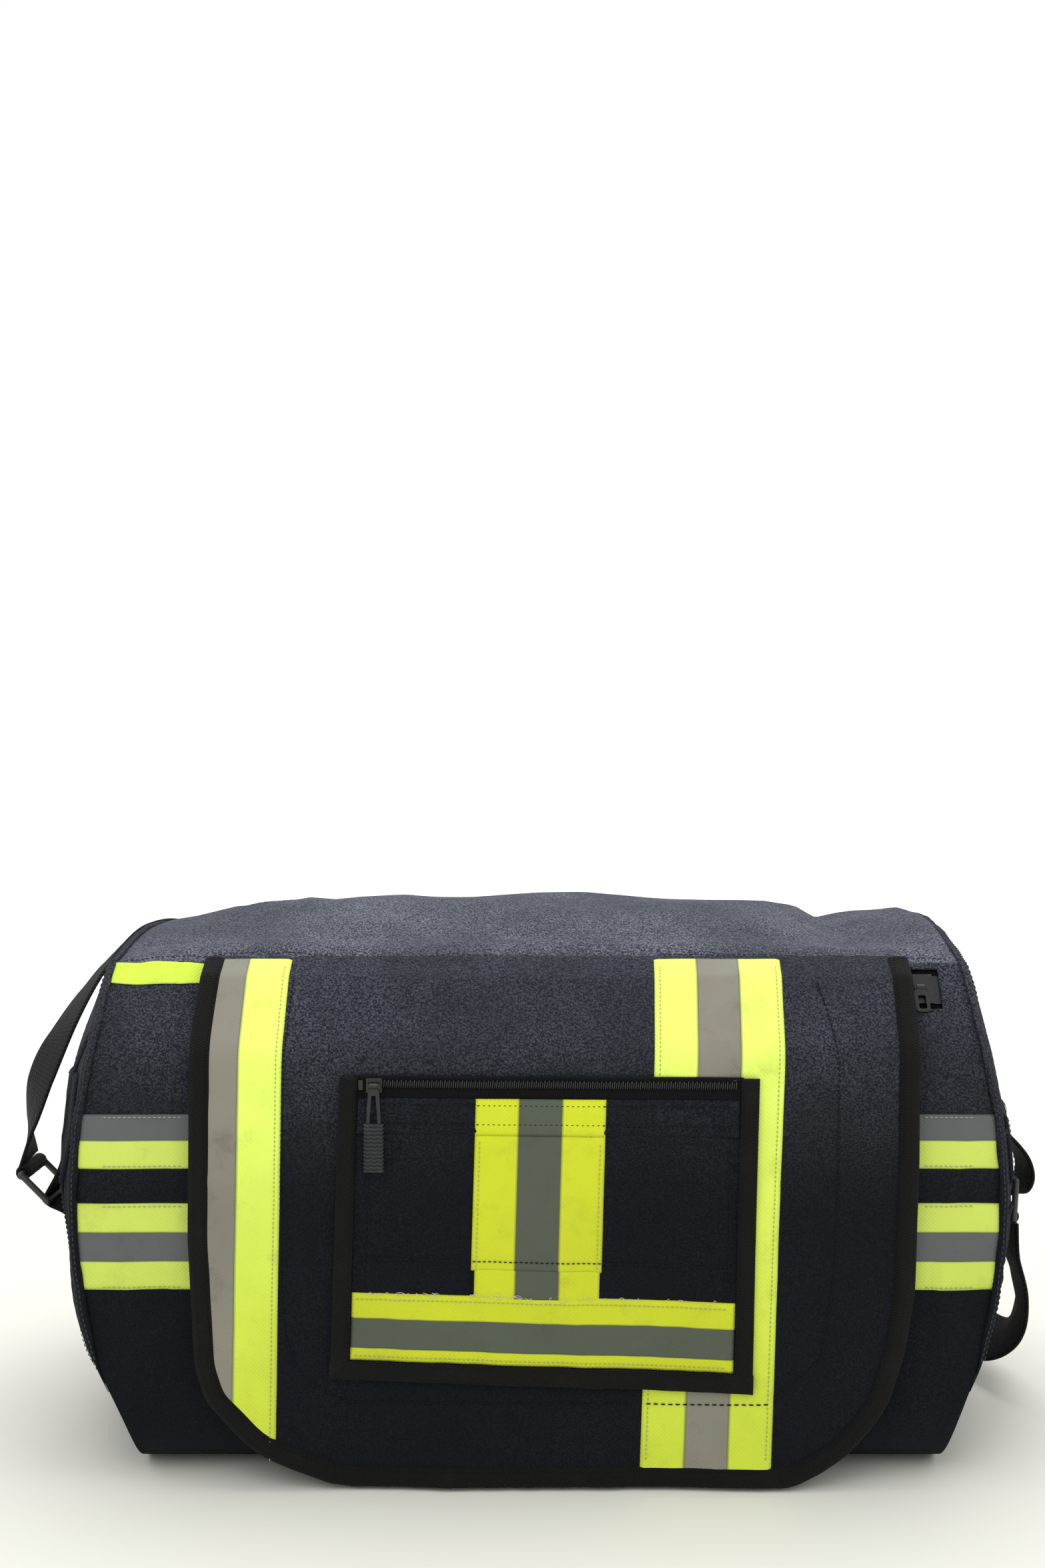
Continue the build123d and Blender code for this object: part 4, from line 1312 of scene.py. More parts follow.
@dataclass
class Flap:
    """The cloth flap that hangs over the front from the top seam.

    at(x, d) takes a place along the bag and a distance down the cloth from the hinge.
    The path leans with the front, then turns upright.
    """

    bench: Workbench
    hinge: tuple[float, float, float] = (0.009, -0.11158, 0.30139)
    inside: tuple[float, float, float] = (0.0, 60.0, 150.0)
    binding_width: float = 11.5
    left_z: tuple[float, ...] = (1, 3.7, 18.6, 27, 40.5, 50.4, 71, 145, 212, 268, 302)
    left_x: tuple[float, ...] = (-90, -118, -155, -167, -180, -190, -197, -201, -200.6, -200,
                                 -198)
    right_z: tuple[float, ...] = (1, 4, 18, 34, 50, 81, 113, 191, 230, 268, 302)
    right_x: tuple[float, ...] = (132, 150, 174, 190, 201, 211, 216, 219, 219, 220, 221)
    path: Array = field(init=False)
    run: Array = field(init=False)
    length: float = field(init=False)

    def __post_init__(self) -> None:
        """Work out the path down the cloth."""
        self.path = rounded_path([(-109.8, 303.0), (-126, 292.4), (-151, 251.5), (-151, 2)],
                                 [8, 30], 1.0)
        self.run = arc_length(self.path)
        self.length = float(self.run[-1])

    def down(self, z: Array) -> Array:
        """Distance down the cloth at height z."""
        return np.interp(-np.asarray(z, float), -self.path[:, 1], self.run)

    def frame_at(self, d: Array) -> tuple[Array, Array]:
        """Outward y and z of the cloth at distances d."""
        dy, dz = (np.interp(d + 2, self.run, self.path[:, i])
                  - np.interp(d - 2, self.run, self.path[:, i]) for i in (0, 1))
        size = np.maximum(np.hypot(dy, dz), 1e-9)
        return dz / size, -dy / size

    def relief(self, x: Array, d: Array) -> Array:
        """Slow hanging waves and soft folds, none at the hinge, calm along the pocket's zip."""
        hang = ease(d, 4, 90)
        waves = 1.1 * ripple(x, d, 120, 201, 8, 2.5) * (0.5 + 0.5 * d / self.length)
        folds = 1.5 * (creases(x, d, 140, 213, 2.4) - 0.35)
        fine = 0.35 * ripple(x, d, 26, 229, 9, 1.6)
        pucker = 0.7 * ripple(x, d * 0, 22, 231, 6) * np.exp(-d / 14)
        zip_row = np.exp(-((d - self.down(POCKET_ZIP_HEIGHT)) / 14) ** 2)
        level = 1 - 0.95 * zip_row * ease(x, -140, -118) * (1 - ease(x, 124, 146))
        return (waves + folds + fine) * hang * level + pucker * ease(d, 2, 8)

    def at(self, x: Array, d: Array, out: Any = 0.0) -> Array:
        """Place on the flap's outer face.

        Args:
            x: along the bag.
            d: distance down the cloth.
            out: extra distance outwards.

        Returns:
            Points, the last axis x, y, z.
        """
        x, d = np.broadcast_arrays(np.asarray(x, float), np.asarray(d, float))
        y, z = (np.interp(d, self.run, self.path[:, i]) for i in (0, 1))
        ny, nz = self.frame_at(d)
        push = self.relief(x, d) + out
        return np.stack([x, y + ny * push, z + nz * push], -1)

    def outward(self, d: Array) -> Array:
        """Outward directions of the flap at distances d."""
        ny, nz = self.frame_at(np.asarray(d, float))
        return np.stack([np.zeros_like(ny), ny, nz], -1)

    def sides(self, d: Array) -> tuple[Array, Array]:
        """Left and right edges of the flap at distances d down the cloth."""
        z = np.interp(d, self.run, self.path[:, 1])
        return np.interp(z, self.left_z, self.left_x), np.interp(z, self.right_z, self.right_x)

    def outline(self, inset: float = 0.0) -> Array:
        """The edge from the top left, round the bottom, to the top right, in x and d.

        Args:
            inset: how far inside the edge to run.

        Returns:
            Columns x and d, evenly spaced.
        """
        d = np.linspace(3, self.length, 260)
        left, right = self.sides(d)
        line = np.vstack([np.stack([left, d], 1), np.stack([right, d], 1)[::-1]])
        line = resample(line, 2.0)
        kernel = np.hanning(13) / np.hanning(13).sum()
        pad = np.pad(line, ((6, 6), (0, 0)), mode="reflect", reflect_type="odd")
        line = np.stack([np.convolve(pad[:, i], kernel, "valid") for i in (0, 1)], 1)
        tangent = unit(np.gradient(line, axis=0))
        return line + np.stack([tangent[:, 1], -tangent[:, 0]], 1) * inset

    def hung(self, piece: bpy.types.Object) -> None:
        """Bake a piece's placement into its mesh."""
        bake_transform(piece)

    def sheet(self, name: str, out: float, finish: str, slot: str, thick: float,
              lining: bool = False) -> bpy.types.Object:
        """Make the face or the lining as one sheet between the flap's edges.

        Args:
            name: the CAD node.
            out: distance from the outer face.
            finish: the cloth's finish.
            slot: the record's material slot.
            thick: wall in millimetres.
            lining: whether this is the inner cloth.

        Returns:
            The sheet.
        """
        d = np.concatenate([np.linspace(0, self.length - 20, 150)[:-1],
                            np.linspace(self.length - 20, self.length, 24)])
        left, right = self.sides(d)
        share = np.linspace(0, 1, 190)[None]
        x = left[:, None] + (right - left)[:, None] * share
        grid_d = spread(d, x)
        obj = self.bench.grid(name + "_cloth", self.at(x, grid_d, out), metres(x, grid_d),
                              finish, slot, "", away=self.inside, towards=lining, thick=thick)
        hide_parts(name)
        self.hung(obj)
        return obj

    def tape(self, name: str, top: Span, low: Span, flip: bool) -> None:
        """Make an upright trim between two slightly slanted edges.

        Args:
            name: the trim's CAD node.
            top: left and right x at the seam.
            low: left and right x at the hem.
            flip: count the bands from the right edge.
        """
        d = np.linspace(4.0, self.length - 5.5, 170)
        along = (d / self.length)[:, None]
        x0, x1 = (top[i] + (low[i] - top[i]) * along for i in (0, 1))
        share = np.linspace(0, 1, 34)[None]
        x = x0 + (x1 - x0) * share
        left, _ = self.sides(d)
        x = np.maximum(x, left[:, None] + 6.0)
        band = (x1 - x) / (x1 - x0) if flip else (x - x0) / (x1 - x0)
        grid_d = spread(d, x)
        edge = np.minimum(band, 1 - band)
        out = 0.15 + 0.75 * ease(edge, 0, 0.02) + 0.12 * ripple(x, grid_d, 30, 251)
        obj = self.bench.grid(name + "_tape", self.at(x, grid_d, out), metres(grid_d, x),
                              "trim", "reflective_trim", "", band=band, away=self.inside,
                              thick=0.7)
        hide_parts(name)
        self.hung(obj)
        span = np.linspace(10, self.length - 14, 300)
        a = span / self.length
        inner = [(top[1] + (low[1] - top[1]) * a) - 3.2]
        if not flip:
            inner.append((top[0] + (low[0] - top[0]) * a) + 3.2)
        lines = [(self.at(xs, span, 1.15), self.outward(span)) for xs in inner]
        self.bench.stitches(name + "_thread", lines, 2.6, "pale_thread", "reflective_trim",
                            "flap", radius=0.3)

    def binding(self) -> None:
        """Wrap the edge: a flattened profile of inset and outward distance round the outline."""
        line = self.outline()
        tangent = unit(np.gradient(line, axis=0))
        inward = np.stack([tangent[:, 1], -tangent[:, 0]], 1)
        centre = np.array([9.0, self.length * 0.45])
        if np.mean(np.sum((centre - line) * inward, 1)) < 0:
            inward = -inward
        w = self.binding_width
        profile = np.array([(w, 0.1), (w - 0.4, 1.0), (w * 0.6, 1.9), (w * 0.25, 1.9),
                            (0.6, 1.2), (-0.5, 0.0), (-0.7, -2.2), (-0.4, -4.2), (0.8, -5.2),
                            (w * 0.3, -5.6), (w - 0.6, -5.0), (w, -4.4)])
        x = line[:, None, 0] + inward[:, None, 0] * profile[None, :, 0]
        d = line[:, None, 1] + inward[:, None, 1] * profile[None, :, 0]
        d = np.clip(d, 2.0, self.length)
        points = self.at(x, d, profile[None, :, 1] + 0.0 * x)
        points[..., 2] = np.maximum(points[..., 2], 0.4)
        obj = self.bench.grid("flap_binding_tape", points, wrap(line, profile), "binding",
                              "binding_black", "", ring=True)
        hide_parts("flap_binding")
        self.hung(obj)
        sewn = line + inward * (w - 1.7)
        sewn = sewn[(sewn[:, 1] > 8)]
        self.bench.stitches("flap_binding_thread",
                            [(self.at(sewn[:, 0], sewn[:, 1], 1.35), self.outward(sewn[:, 1]))],
                            3.0, "black_thread", "binding_black", "flap", radius=0.36)

    def topstitch(self) -> None:
        """Sew the wide U of thread inside the flap, dark where it crosses the trim."""
        z = np.array([292, 224, 139, 96, 70, 58.5, 52, 51, 50, 55, 71, 84, 139, 219, 256, 292.])
        x = np.array([-144, -147, -148, -146, -138, -125, -111, -95, 114, 137, 157, 164, 171,
                      173, 172, 164.])
        curve = smooth_curve(np.stack([x, z], 1), 700)
        d = self.down(curve[:, 1])
        points, up = self.at(curve[:, 0], d, 0.35), self.outward(d)
        edge = 69 - 11.5 * d / self.length
        over = (curve[:, 0] > edge) & (curve[:, 0] < edge + 75)
        cut = np.flatnonzero(np.diff(over.astype(int)))
        parts = np.split(np.arange(len(curve)), cut + 1)
        plain = [(points[p], up[p]) for p in parts if len(p) > 8 and not over[p[0]]]
        crossing = [(points[p] + up[p] * 0.9, up[p]) for p in parts if len(p) > 8 and over[p[0]]]
        self.bench.stitches("flap_thread", plain, 3.3, "black_thread", "body_twill", "flap",
                            radius=0.5)
        self.bench.stitches("flap_thread_dark", crossing, 4.2, "black_thread", "body_twill",
                            "flap", radius=0.45)

    def build(self) -> None:
        """Make the flap's cloth, trims, edge and thread."""
        face = self.sheet("flap_face", 0.0, "navy_twill", "body_twill", 1.0)
        d = np.linspace(0, self.length, 400)
        left, right = self.sides(d)
        self.sheet("flap_lining", -2.2, "lining", "lining_cloth", 0.8, lining=True)
        self.tape("flap_trim_right", (69.6, 144.6), (58.0, 133.0), False)
        self.tape("flap_trim_left", (-221.5, -146.5), (-226, -151), True)
        self.binding()
        self.topstitch()


@dataclass
class CoatPocket:
    """The coat's own pocket, sewn flat to the flap a little out of square.

    at(px, pz) takes the pocket's upright coordinates and slants them by the four
    sewn corners.
    """

    bench: Workbench
    flap: Flap
    span: Span = (-117.0, 125.0)
    rise: Span = (60.0, 238.0)
    corners: tuple[Span, ...] = ((-119.3, 66.0), (122.4, 57.5), (-114.0, 238.6),
                                 (127.0, 237.4))

    def at(self, px: Array, pz: Array, out: Any = 0.0) -> Array:
        """Place on the pocket: bilinear between the four corners, then on the flap.

        Args:
            px: across, in the pocket's own upright frame.
            pz: height in that frame.
            out: distance off the flap's face.

        Returns:
            Points, the last axis x, y, z.
        """
        px, pz = np.broadcast_arrays(np.asarray(px, float), np.asarray(pz, float))
        u = (px - self.span[0]) / (self.span[1] - self.span[0])
        v = (pz - self.rise[0]) / (self.rise[1] - self.rise[0])
        bl, br, tl, tr = (np.array(c) for c in self.corners)
        flat = ((1 - u)[..., None] * ((1 - v)[..., None] * bl + v[..., None] * tl)
                + u[..., None] * ((1 - v)[..., None] * br + v[..., None] * tr))
        sag = 0.7 + 0.35 * ripple(px, pz, 60, 307, 8, 1.3)
        return self.flap.at(flat[..., 0], self.flap.down(flat[..., 1]), out + sag)

    def outward(self, pz: Array) -> Array:
        """Outward directions at pocket heights."""
        return self.flap.outward(self.flap.down(np.asarray(pz, float)))

    def row(self, x: Array, z: float, out: float) -> tuple[Array, Array]:
        """A row of thread across the pocket: its points and outward directions."""
        return self.at(x, z, out), self.outward(np.full(len(x), z))

    def layer(self, node: str, span: Span, rise: Span, out: float, finish: str, slot: str,
              thick: float = 0.8, upright: bool = False,
              bands: Optional[Sequence[float]] = None, stops: Sequence[float] = (0.0, 1.0),
              name: str = "", shape: Optional[Height] = None) -> None:
        """Lay one cloth of the pocket, its edges rolled down to the cloth beneath.

        Args:
            node: the CAD node that it stands for.
            span: from and to across.
            rise: from and to in height.
            out: distance off the flap's face.
            finish: the cloth's finish.
            slot: the record's material slot.
            thick: wall in millimetres.
            upright: the trim's bands run up instead of across.
            bands: band share at each stop across the trim.
            stops: where those shares fall, 0 to 1.
            name: the piece's own name, where it isn't the node's.
            shape: extra height as a function of px and pz.
        """
        columns = max(12, int((span[1] - span[0]) / 1.8))
        rows = max(12, int((rise[1] - rise[0]) / 1.8))
        px, pz = np.meshgrid(np.linspace(*span, columns), np.linspace(*rise, rows))
        height = out - 0.7 * (1 - ease(edge_gap(px, pz, span, rise), 0, 1.6))
        if shape is not None:
            height = height + shape(px, pz)
        band = None
        if bands is not None:
            share = ((px - span[0]) / (span[1] - span[0]) if upright
                     else (rise[1] - pz) / (rise[1] - rise[0]))
            band = np.interp(share, stops, bands)
        uv = metres(pz, px) if upright else metres(px, pz)
        obj = self.bench.grid((name or node) + "_cloth", self.at(px, pz, height), uv, finish,
                              slot, "flap", band=band, away=self.flap.inside, thick=thick)
        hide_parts(node)

    def rim(self) -> None:
        """Bind the two sides and the bottom with square, overlapping ends."""
        (x0, x1), (z0, z1), w = self.span, self.rise, 10.5
        strips = (("left", (x0, x0 + w), (z0, z1), True, 3.8),
                  ("right", (x1 - w, x1), (z0, z1), True, 3.8),
                  ("low", (x0 - 0.4, x1 + 0.4), (z0 - 0.6, z0 + w), False, 4.2))
        lines = []
        for word, span, rise, upright, out in strips:
            self.layer("pocket_binding", span, rise, out, "binding", "binding_black", 2.0,
                       upright=upright, name=f"pocket_binding_{word}")
            run = np.linspace(0.02, 0.98, 300)
            px = np.full(300, x0 + w - 1.5 if word == "left" else x1 - w + 1.5)
            pz = z0 + w + (z1 - z0 - w) * run
            if not upright:
                px, pz = x0 + w + (x1 - x0 - 2 * w) * run, np.full(300, z0 + w - 1.5)
            lines.append((self.at(px, pz, out + 0.15), self.outward(pz)))
        self.bench.stitches("pocket_binding_thread", lines, 3.0, "black_thread",
                            "binding_black", "flap", radius=0.36)

    def rows(self) -> None:
        """Sew the dark rows across the pocket and the pale rows on its trims."""
        x = np.linspace(-105, 112, 360)
        dark = [self.row(x, z, 3.6) for z in (221.5, 210.5, 131.0)]
        pale = [self.row(x, z, 3.3) for z in (107.0, 73.5)]
        z = np.linspace(126, 203, 200)
        for xs in (-35.2, 34.2):
            pale.append((self.at(xs, z, 3.6), self.outward(z)))
        self.bench.stitches("pocket_thread", dark, 3.0, "black_thread", "pocket_trim", "flap",
                            radius=0.38)
        self.bench.stitches("pocket_thread_pale", pale, 2.7, "pale_thread", "pocket_trim",
                            "flap", radius=0.28)

    def zip(self) -> None:
        """Make the closed zip: two tapes and one row of interlocked teeth."""
        x = np.arange(-100.0, 112.0, 1.25)
        z = POCKET_ZIP_HEIGHT
        odd = (np.arange(len(x)) % 2) * 0.9
        start, end = self.at(x, z - 2.3 - odd * 0.4, 3.1), self.at(x + 0.25, z + 2.0 + odd, 3.1)
        teeth = self.bench.beads("pocket_zip_teeth", start, end, self.outward(np.full(len(x), z)),
                                 0.52, 0.85, "coil", "zip_coil", "flap", arch=0.5)
        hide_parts("pocket_zip_coil")
        self.layer("pocket_zip_tapes", (-108, 116), (224.8, 238.4), 2.4, "zip_tape",
                   "zip_tape", 0.6)

    def fray(self) -> None:
        """Let thin white threads curl out of the cut edge above the low trim."""
        rng = np.random.default_rng(404)
        count, steps = 64, 9
        x0 = rng.uniform(-100, 104, count)
        t = np.linspace(0, 1, steps)
        span, climb = rng.uniform(-5, 5, count), rng.uniform(0.5, 2.6, count)
        curl, phase = rng.uniform(0.2, 0.8, count), rng.uniform(0, 6.28, count)
        px = x0[:, None] + span[:, None] * t + curl[:, None] * np.sin(5 * t + phase[:, None])
        pz = 109.5 + climb[:, None] * np.sin(t * 2.4) + curl[:, None] * 0.5 * np.cos(
            6 * t + phase[:, None])
        out = 3.0 + 1.5 * np.sin(np.pi * t)[None] * np.ones_like(px)
        points = self.at(px, pz, out)
        start, end = points[:, :-1].reshape(-1, 3), points[:, 1:].reshape(-1, 3)
        up = self.outward(pz[:, :-1].reshape(-1))
        self.bench.beads("pocket_fray", start, end + (end - start) * 0.25, up, 0.13, 0.13,
                         "white_thread", "pocket_trim", "flap")

    def build(self) -> None:
        """Make the pocket from the flap outwards."""
        pleat = lambda centre, wide: (lambda px, pz: 1.3 * np.exp(-((px - centre) / wide) ** 2)
                                      * ease(pz, 118, 150))
        self.layer("pocket_panel", (-116, 124), (61, 237.6), 1.6, "pocket_twill", "body_twill")
        self.layer("pocket_cloth_left", (-98, -38), (110, 206), 2.6, "pocket_twill",
                   "body_twill", shape=pleat(-46, 5))
        self.layer("pocket_cloth_right", (37, 109), (110, 206), 2.6, "pocket_twill",
                   "body_twill", shape=pleat(50, 5))
        self.layer("pocket_facing", (-36, 36), (108, 127), 2.8, "pocket_trim", "pocket_trim",
                   upright=True, bands=(0.02, 0.98))
        self.layer("pocket_top_strip", (-106, 114), (204.4, 225.4), 3.0, "pocket_twill",
                   "body_twill", shape=lambda px, pz: 0.6 * ease(208.0 - pz, -2.0, 2.0))
        self.layer("pocket_strip_trim", (-38, 37), (204.0, 225.4), 3.9, "pocket_trim",
                   "pocket_trim", upright=True, bands=(0.0, 1.0))
        self.layer("pocket_low_trim", (-106, 114), (70.5, 110.5), 2.9, "pocket_trim",
                   "pocket_trim", bands=(-0.05, 0.333, 0.667, 0.9),
                   stops=(0.0, 0.37, 0.81, 1.0))
        self.layer("pocket_upright_trim", (-38, 37), (125.4, 204.8), 3.1, "pocket_trim",
                   "pocket_trim", upright=True, bands=(0.0, 1.0))
        self.rim()
        self.rows()
        self.zip()
        self.fray()


@dataclass
class MainZip:
    """The bag's long zip in the sloping top of the front, standing a little open."""

    bench: Workbench
    seam: Span = (-110.0, 299.0)
    slope: Span = (0.525, 0.8511)
    span: Span = ZIP_SPAN
    rise: Span = (-30.0, -4.0)
    gape: Span = (-21.5, -12.5)
    reach: Span = (-191.5, 235.5)
    roots: Span = (-8.2, -25.8)
    pitch: float = 1.6
    depth: float = -3.6

    def at(self, x: Array, up: Array, out: Any) -> Array:
        """Place on the sloping plane: up it from the seam, and out of it."""
        x, up, out = np.broadcast_arrays(x, up, np.asarray(out, float))
        (y, z), (back, rise) = self.seam, self.slope
        return np.stack([x, y + back * up - rise * out, z + rise * up + back * out], -1)

    def build(self) -> None:
        """Make the tapes round the gape and a row of teeth along each edge."""
        x = np.unique(np.concatenate([np.linspace(*self.span, 120), self.reach]))
        up = np.unique(np.concatenate([np.linspace(*self.rise, 14), self.gape]))
        gx, gu = np.meshgrid(x, up)
        tape = self.bench.grid("main_zip_tape_cloth", self.at(gx, gu, self.depth + 0.5),
                               metres(gx, gu), "zip_tape", "zip_tape", "bag",
                               keep=outside(gx, gu, self.reach, self.gape), away=(0, 0, 150),
                               thick=1.0)
        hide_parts("main_zip_tapes")
        along = np.arange(*self.reach, self.pitch)
        starts = [self.at(along, root, self.depth) for root in self.roots]
        ends = [self.at(along + 0.3, tip, self.depth) for tip in self.gape[::-1]]
        out = np.tile([0.0, -self.slope[1], self.slope[0]], (2 * len(along), 1))
        teeth = self.bench.beads("main_zip_teeth", np.vstack(starts), np.vstack(ends), out,
                                 0.62, 1.3, "coil", "zip_coil", "bag")
        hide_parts("main_zip_coils")


@dataclass
class CarryStrap:
    """Shoulder webbing with its end loops and the two anchors on the ends."""

    bench: Workbench
    width: float = 38.0
    thick: float = 2.2
    ring_y: float = -20.0
    samples: int = 420
    join: int = 205
    bars: tuple[Span, ...] = ((-330.0, 156.0), (305.5, 128.05))
    route: tuple[tuple[float, ...], ...] = (
        (-332, -20, 161, -1, 0, 0), (-330, -22, 186, -.93, -.36, 0),
        (-323, -24, 214, -.8, -.6, .15), (-311, -14, 245, -.76, -.54, .35),
        (-298, 18, 275, -.75, -.25, .62), (-285, 70, 295, -.6, .3, .75),
        (-262, 128, 286, -.45, .9, .3), (-222, 158, 250, -.1, 1, 0), (-150, 166, 196, 0, 1, 0),
        (-60, 168, 140, 0, 1, 0), (40, 168, 96, 0, 1, 0), (140, 166, 68, 0, 1, 0),
        (218, 158, 52, .2, 1, -.1), (270, 124, 34, .6, .75, -.5), (301, 70, 26, .6, .3, -.9),
        (313, 26, 28, .75, .05, -.8), (320, -2, 50, 1, 0, -.35), (317, -16, 78, 1, 0, 0),
        (310, -20, 102, 1, 0, 0), (309, -20, 123, 1, 0, 0))

    def profile(self) -> Array:
        """Flat webbing with rounded edges: a rectangle whose ends are half ovals."""
        half, tall = self.width / 2, self.thick / 2
        across = np.linspace(-half + 1.2, half - 1.2, 9)
        swell = tall * (1 - 0.12 * np.cos(across / half * np.pi * 3))
        right = np.array([(half - 0.35, tall * 0.75), (half, 0), (half - 0.35, -tall * 0.75)])
        return np.vstack([np.stack([across, swell], 1), right,
                          np.stack([across[::-1], -swell[::-1]], 1), right[::-1] * [-1, 1]])

    def ribbon(self, name: str, path: Array, out: Array, body: str,
               loop: bool = False) -> bpy.types.Object:
        """Carry the webbing along a path.

        Args:
            name: the piece's name.
            path: the middle of the webbing.
            out: its face's direction at each point.
            body: the body that it rides on.
            loop: whether the path closes.

        Returns:
            The webbing.
        """
        tangent = unit(np.gradient(path, axis=0))
        if loop:
            tangent = unit(np.roll(path, -1, 0) - np.roll(path, 1, 0))
        side = unit(np.cross(tangent, out))
        up = unit(np.cross(side, tangent))
        return self.bench.carry(name, path, side, up, self.profile(), "webbing",
                                "webbing_black", body, loop=loop)

    def around(self, x: float, z: float) -> tuple[Array, Array]:
        """A circle of webbing round a ring's bar: its points and outward directions."""
        angle = np.linspace(0, 2 * np.pi, 29)[:-1]
        out = np.stack([np.cos(angle), angle * 0, np.sin(angle)], 1)
        return np.array([x, self.ring_y, z]) + out * 3.7, out

    def anchor(self, name: str, points: Sequence[Span]) -> None:
        """Fold webbing round a ring's inner bar, both legs lying on the bag's end.

        Args:
            name: the CAD node.
            points: x and z along the webbing.
        """
        flat = smooth_curve(np.array(points, float), 90)
        path = np.stack([flat[:, 0], np.full(90, self.ring_y), flat[:, 1]], 1)
        tangent = unit(np.gradient(path, axis=0))
        out = np.cross(tangent, [0.0, 1.0, 0.0])
        middle = path.mean(0)
        if np.sum((path - middle) * out) < 0:
            out = -out
        fold = self.ribbon(name + "_fold", path, out, "bag")
        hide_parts(name)

    def build(self) -> None:
        """Make the strap in two halves that meet behind the bag, its loops and anchors."""
        curve = smooth_curve(np.array(self.route, float), self.samples)
        path, out, join = curve[:, :3], unit(curve[:, 3:]), self.join
        left = self.ribbon("shoulder_strap_left", path[:join + 1], out[:join + 1], "")
        right = self.ribbon("shoulder_strap_right", path[join:], out[join:], "")
        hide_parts("shoulder_strap")
        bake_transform(left)
        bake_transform(right)
        for word, bar in zip(("left", "right"), self.bars):
            points, away = self.around(*bar)
            loop = self.ribbon(f"strap_loop_{word}", points, away, f"{word}_ring", loop=True)
            if word == "left":
                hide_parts("strap_end_loops")
        self.anchor("left_anchor", [(-297.3, 190), (-301.5, 176), (-307, 158), (-314.5, 143.5),
                                    (-317, 139), (-313, 135.2), (-305, 131.5), (-298.3, 127)])
        self.anchor("right_anchor", [(297.3, 185), (307, 177), (316.5, 165), (319.5, 153),
                                     (316, 144.5), (308, 143.5), (301.5, 140), (298, 130)])


@dataclass
class Fittings:
    """Sliders, pullers, rings, stops and the puller's webbing tab."""

    bench: Workbench
    enamelled: tuple[str, ...] = ("main_slider", "main_puller", "pocket_slider",
                                  "pocket_puller", "main_zip_stops", "pocket_zip_stops")

    def build(self) -> None:
        """Finish the hard fittings and make the ribbed tab that hangs from the puller."""
        for node in self.enamelled:
            self.bench.dress(node, "enamel")
        for node in ("left_ring", "right_ring"):
            self.bench.dress(node, "ring_plastic")
        low, high = (np.array(v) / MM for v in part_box("pocket_puller_tab"))
        middle, half = (low + high) / 2, (high - low) / 2
        z = np.linspace(high[2] - 0.2, low[2] + 0.2, 90)
        path = np.stack([np.full(90, middle[0]), np.full(90, middle[1]), z], 1)
        rib = 1 + 0.05 * np.sin(z * 2 * np.pi / 2.2)
        turn = np.linspace(0, 2 * np.pi, 25)[:-1]
        shape = np.stack([np.sign(np.cos(turn)) * np.abs(np.cos(turn)) ** 0.35 * half[0],
                          np.sign(np.sin(turn)) * np.abs(np.sin(turn)) ** 0.6 * half[1] * 0.9], 1)
        side, up = np.tile([1.0, 0, 0], (90, 1)), np.tile([0, -1.0, 0], (90, 1))
        tab = self.bench.carry("pocket_puller_webbing", path, side, up, shape, "webbing_grey",
                               "webbing_grey", "pocket_puller", swell=rib * 0.97)
        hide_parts("pocket_puller_tab")


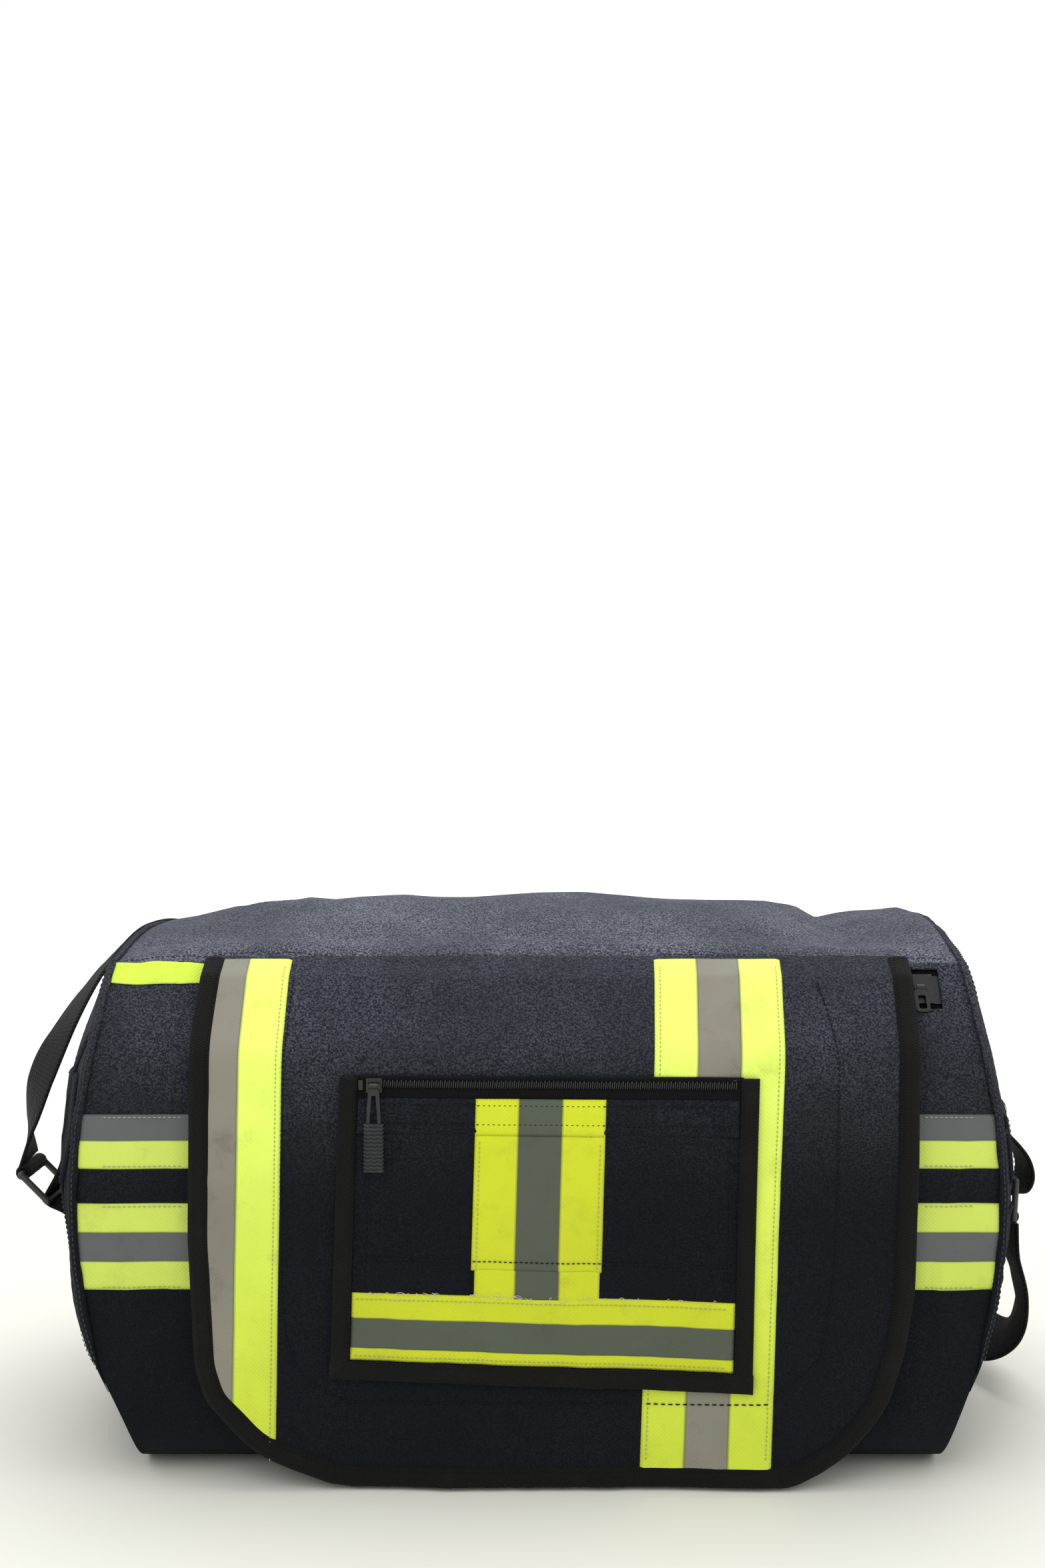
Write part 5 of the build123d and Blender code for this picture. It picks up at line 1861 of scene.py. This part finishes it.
@dataclass
class Studio:
    """Pale floor, soft lights and a level camera in front of the flap."""

    bench: Workbench
    eye: tuple[float, float, float] = (-0.009, -1.101, 0.406)
    lens: float = 37.96

    def light(self, name: str, place: tuple[float, float, float],
              aim: tuple[float, float, float], size: float, power: float) -> None:
        """Add a soft square light.

        Args:
            name: the light's name.
            place: where it stands.
            aim: what it points at.
            size: its side, metres.
            power: watts.
        """
        data = bpy.data.lights.new(name, "AREA")
        data.energy, data.size = power, size
        lamp = bpy.data.objects.new(name, data)
        lamp.location = place
        lamp.rotation_euler = (Vector(aim) - Vector(place)).to_track_quat("-Z", "Y").to_euler()
        bpy.context.scene.collection.objects.link(lamp)

    def build(self) -> None:
        """Lay the floor, hang the lights and set the camera."""
        mesh = bpy.data.meshes.new("studio_floor")
        mesh.from_pydata([(-9, -9, 0), (9, -9, 0), (9, 9, 0), (-9, 9, 0)], [], [(0, 1, 2, 3)])
        mesh.materials.append(Ground().material())
        floor = bpy.data.objects.new("studio_floor", mesh)
        bpy.context.scene.collection.objects.link(floor)
        floor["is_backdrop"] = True
        self.light("key", (-0.7, -1.9, 2.0), (0, 0, 0.15), 1.6, 12)
        self.light("top", (0.1, 0.5, 2.3), (0, 0, 0.2), 2.2, 26)
        self.light("fill", (1.9, -1.2, 1.1), (0, 0, 0.15), 1.4, 4)
        world = bpy.data.worlds.new("studio")
        world.use_nodes = True
        backdrop = world.node_tree.nodes["Background"]
        backdrop.inputs[0].default_value = (1.0, 1.0, 1.0, 1.0)
        backdrop.inputs[1].default_value = 1.0
        scene = bpy.context.scene
        scene.world = world
        scene.view_settings.view_transform = "Standard"
        data = bpy.data.cameras.new("camera")
        data.sensor_fit, data.sensor_height, data.lens = "VERTICAL", 36.0, self.lens
        data.clip_end = 60.0
        camera = bpy.data.objects.new("camera", data)
        camera.location, camera.rotation_euler = self.eye, (np.pi / 2, 0.0, 0.0)
        scene.collection.objects.link(camera)
        scene.camera = camera


def plain(box: Any) -> list[list[float]]:
    """A box's two corners as lists of numbers."""
    return [[float(v) for v in corner] for corner in box]


def main() -> None:
    """Build the studio and every sub-assembly in order."""
    logging.basicConfig(level=logging.INFO, format="%(name)s: %(message)s")
    before = plain(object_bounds())
    bench = Workbench()
    Studio(bench).build()
    BagBody(bench).build()
    MainZip(bench).build()
    flap = Flap(bench)
    flap.build()
    CoatPocket(bench, flap).build()
    CarryStrap(bench).build()
    Fittings(bench).build()
    {"cad": before, "visual": plain(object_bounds())}


if __name__ == "__main__":
    main()
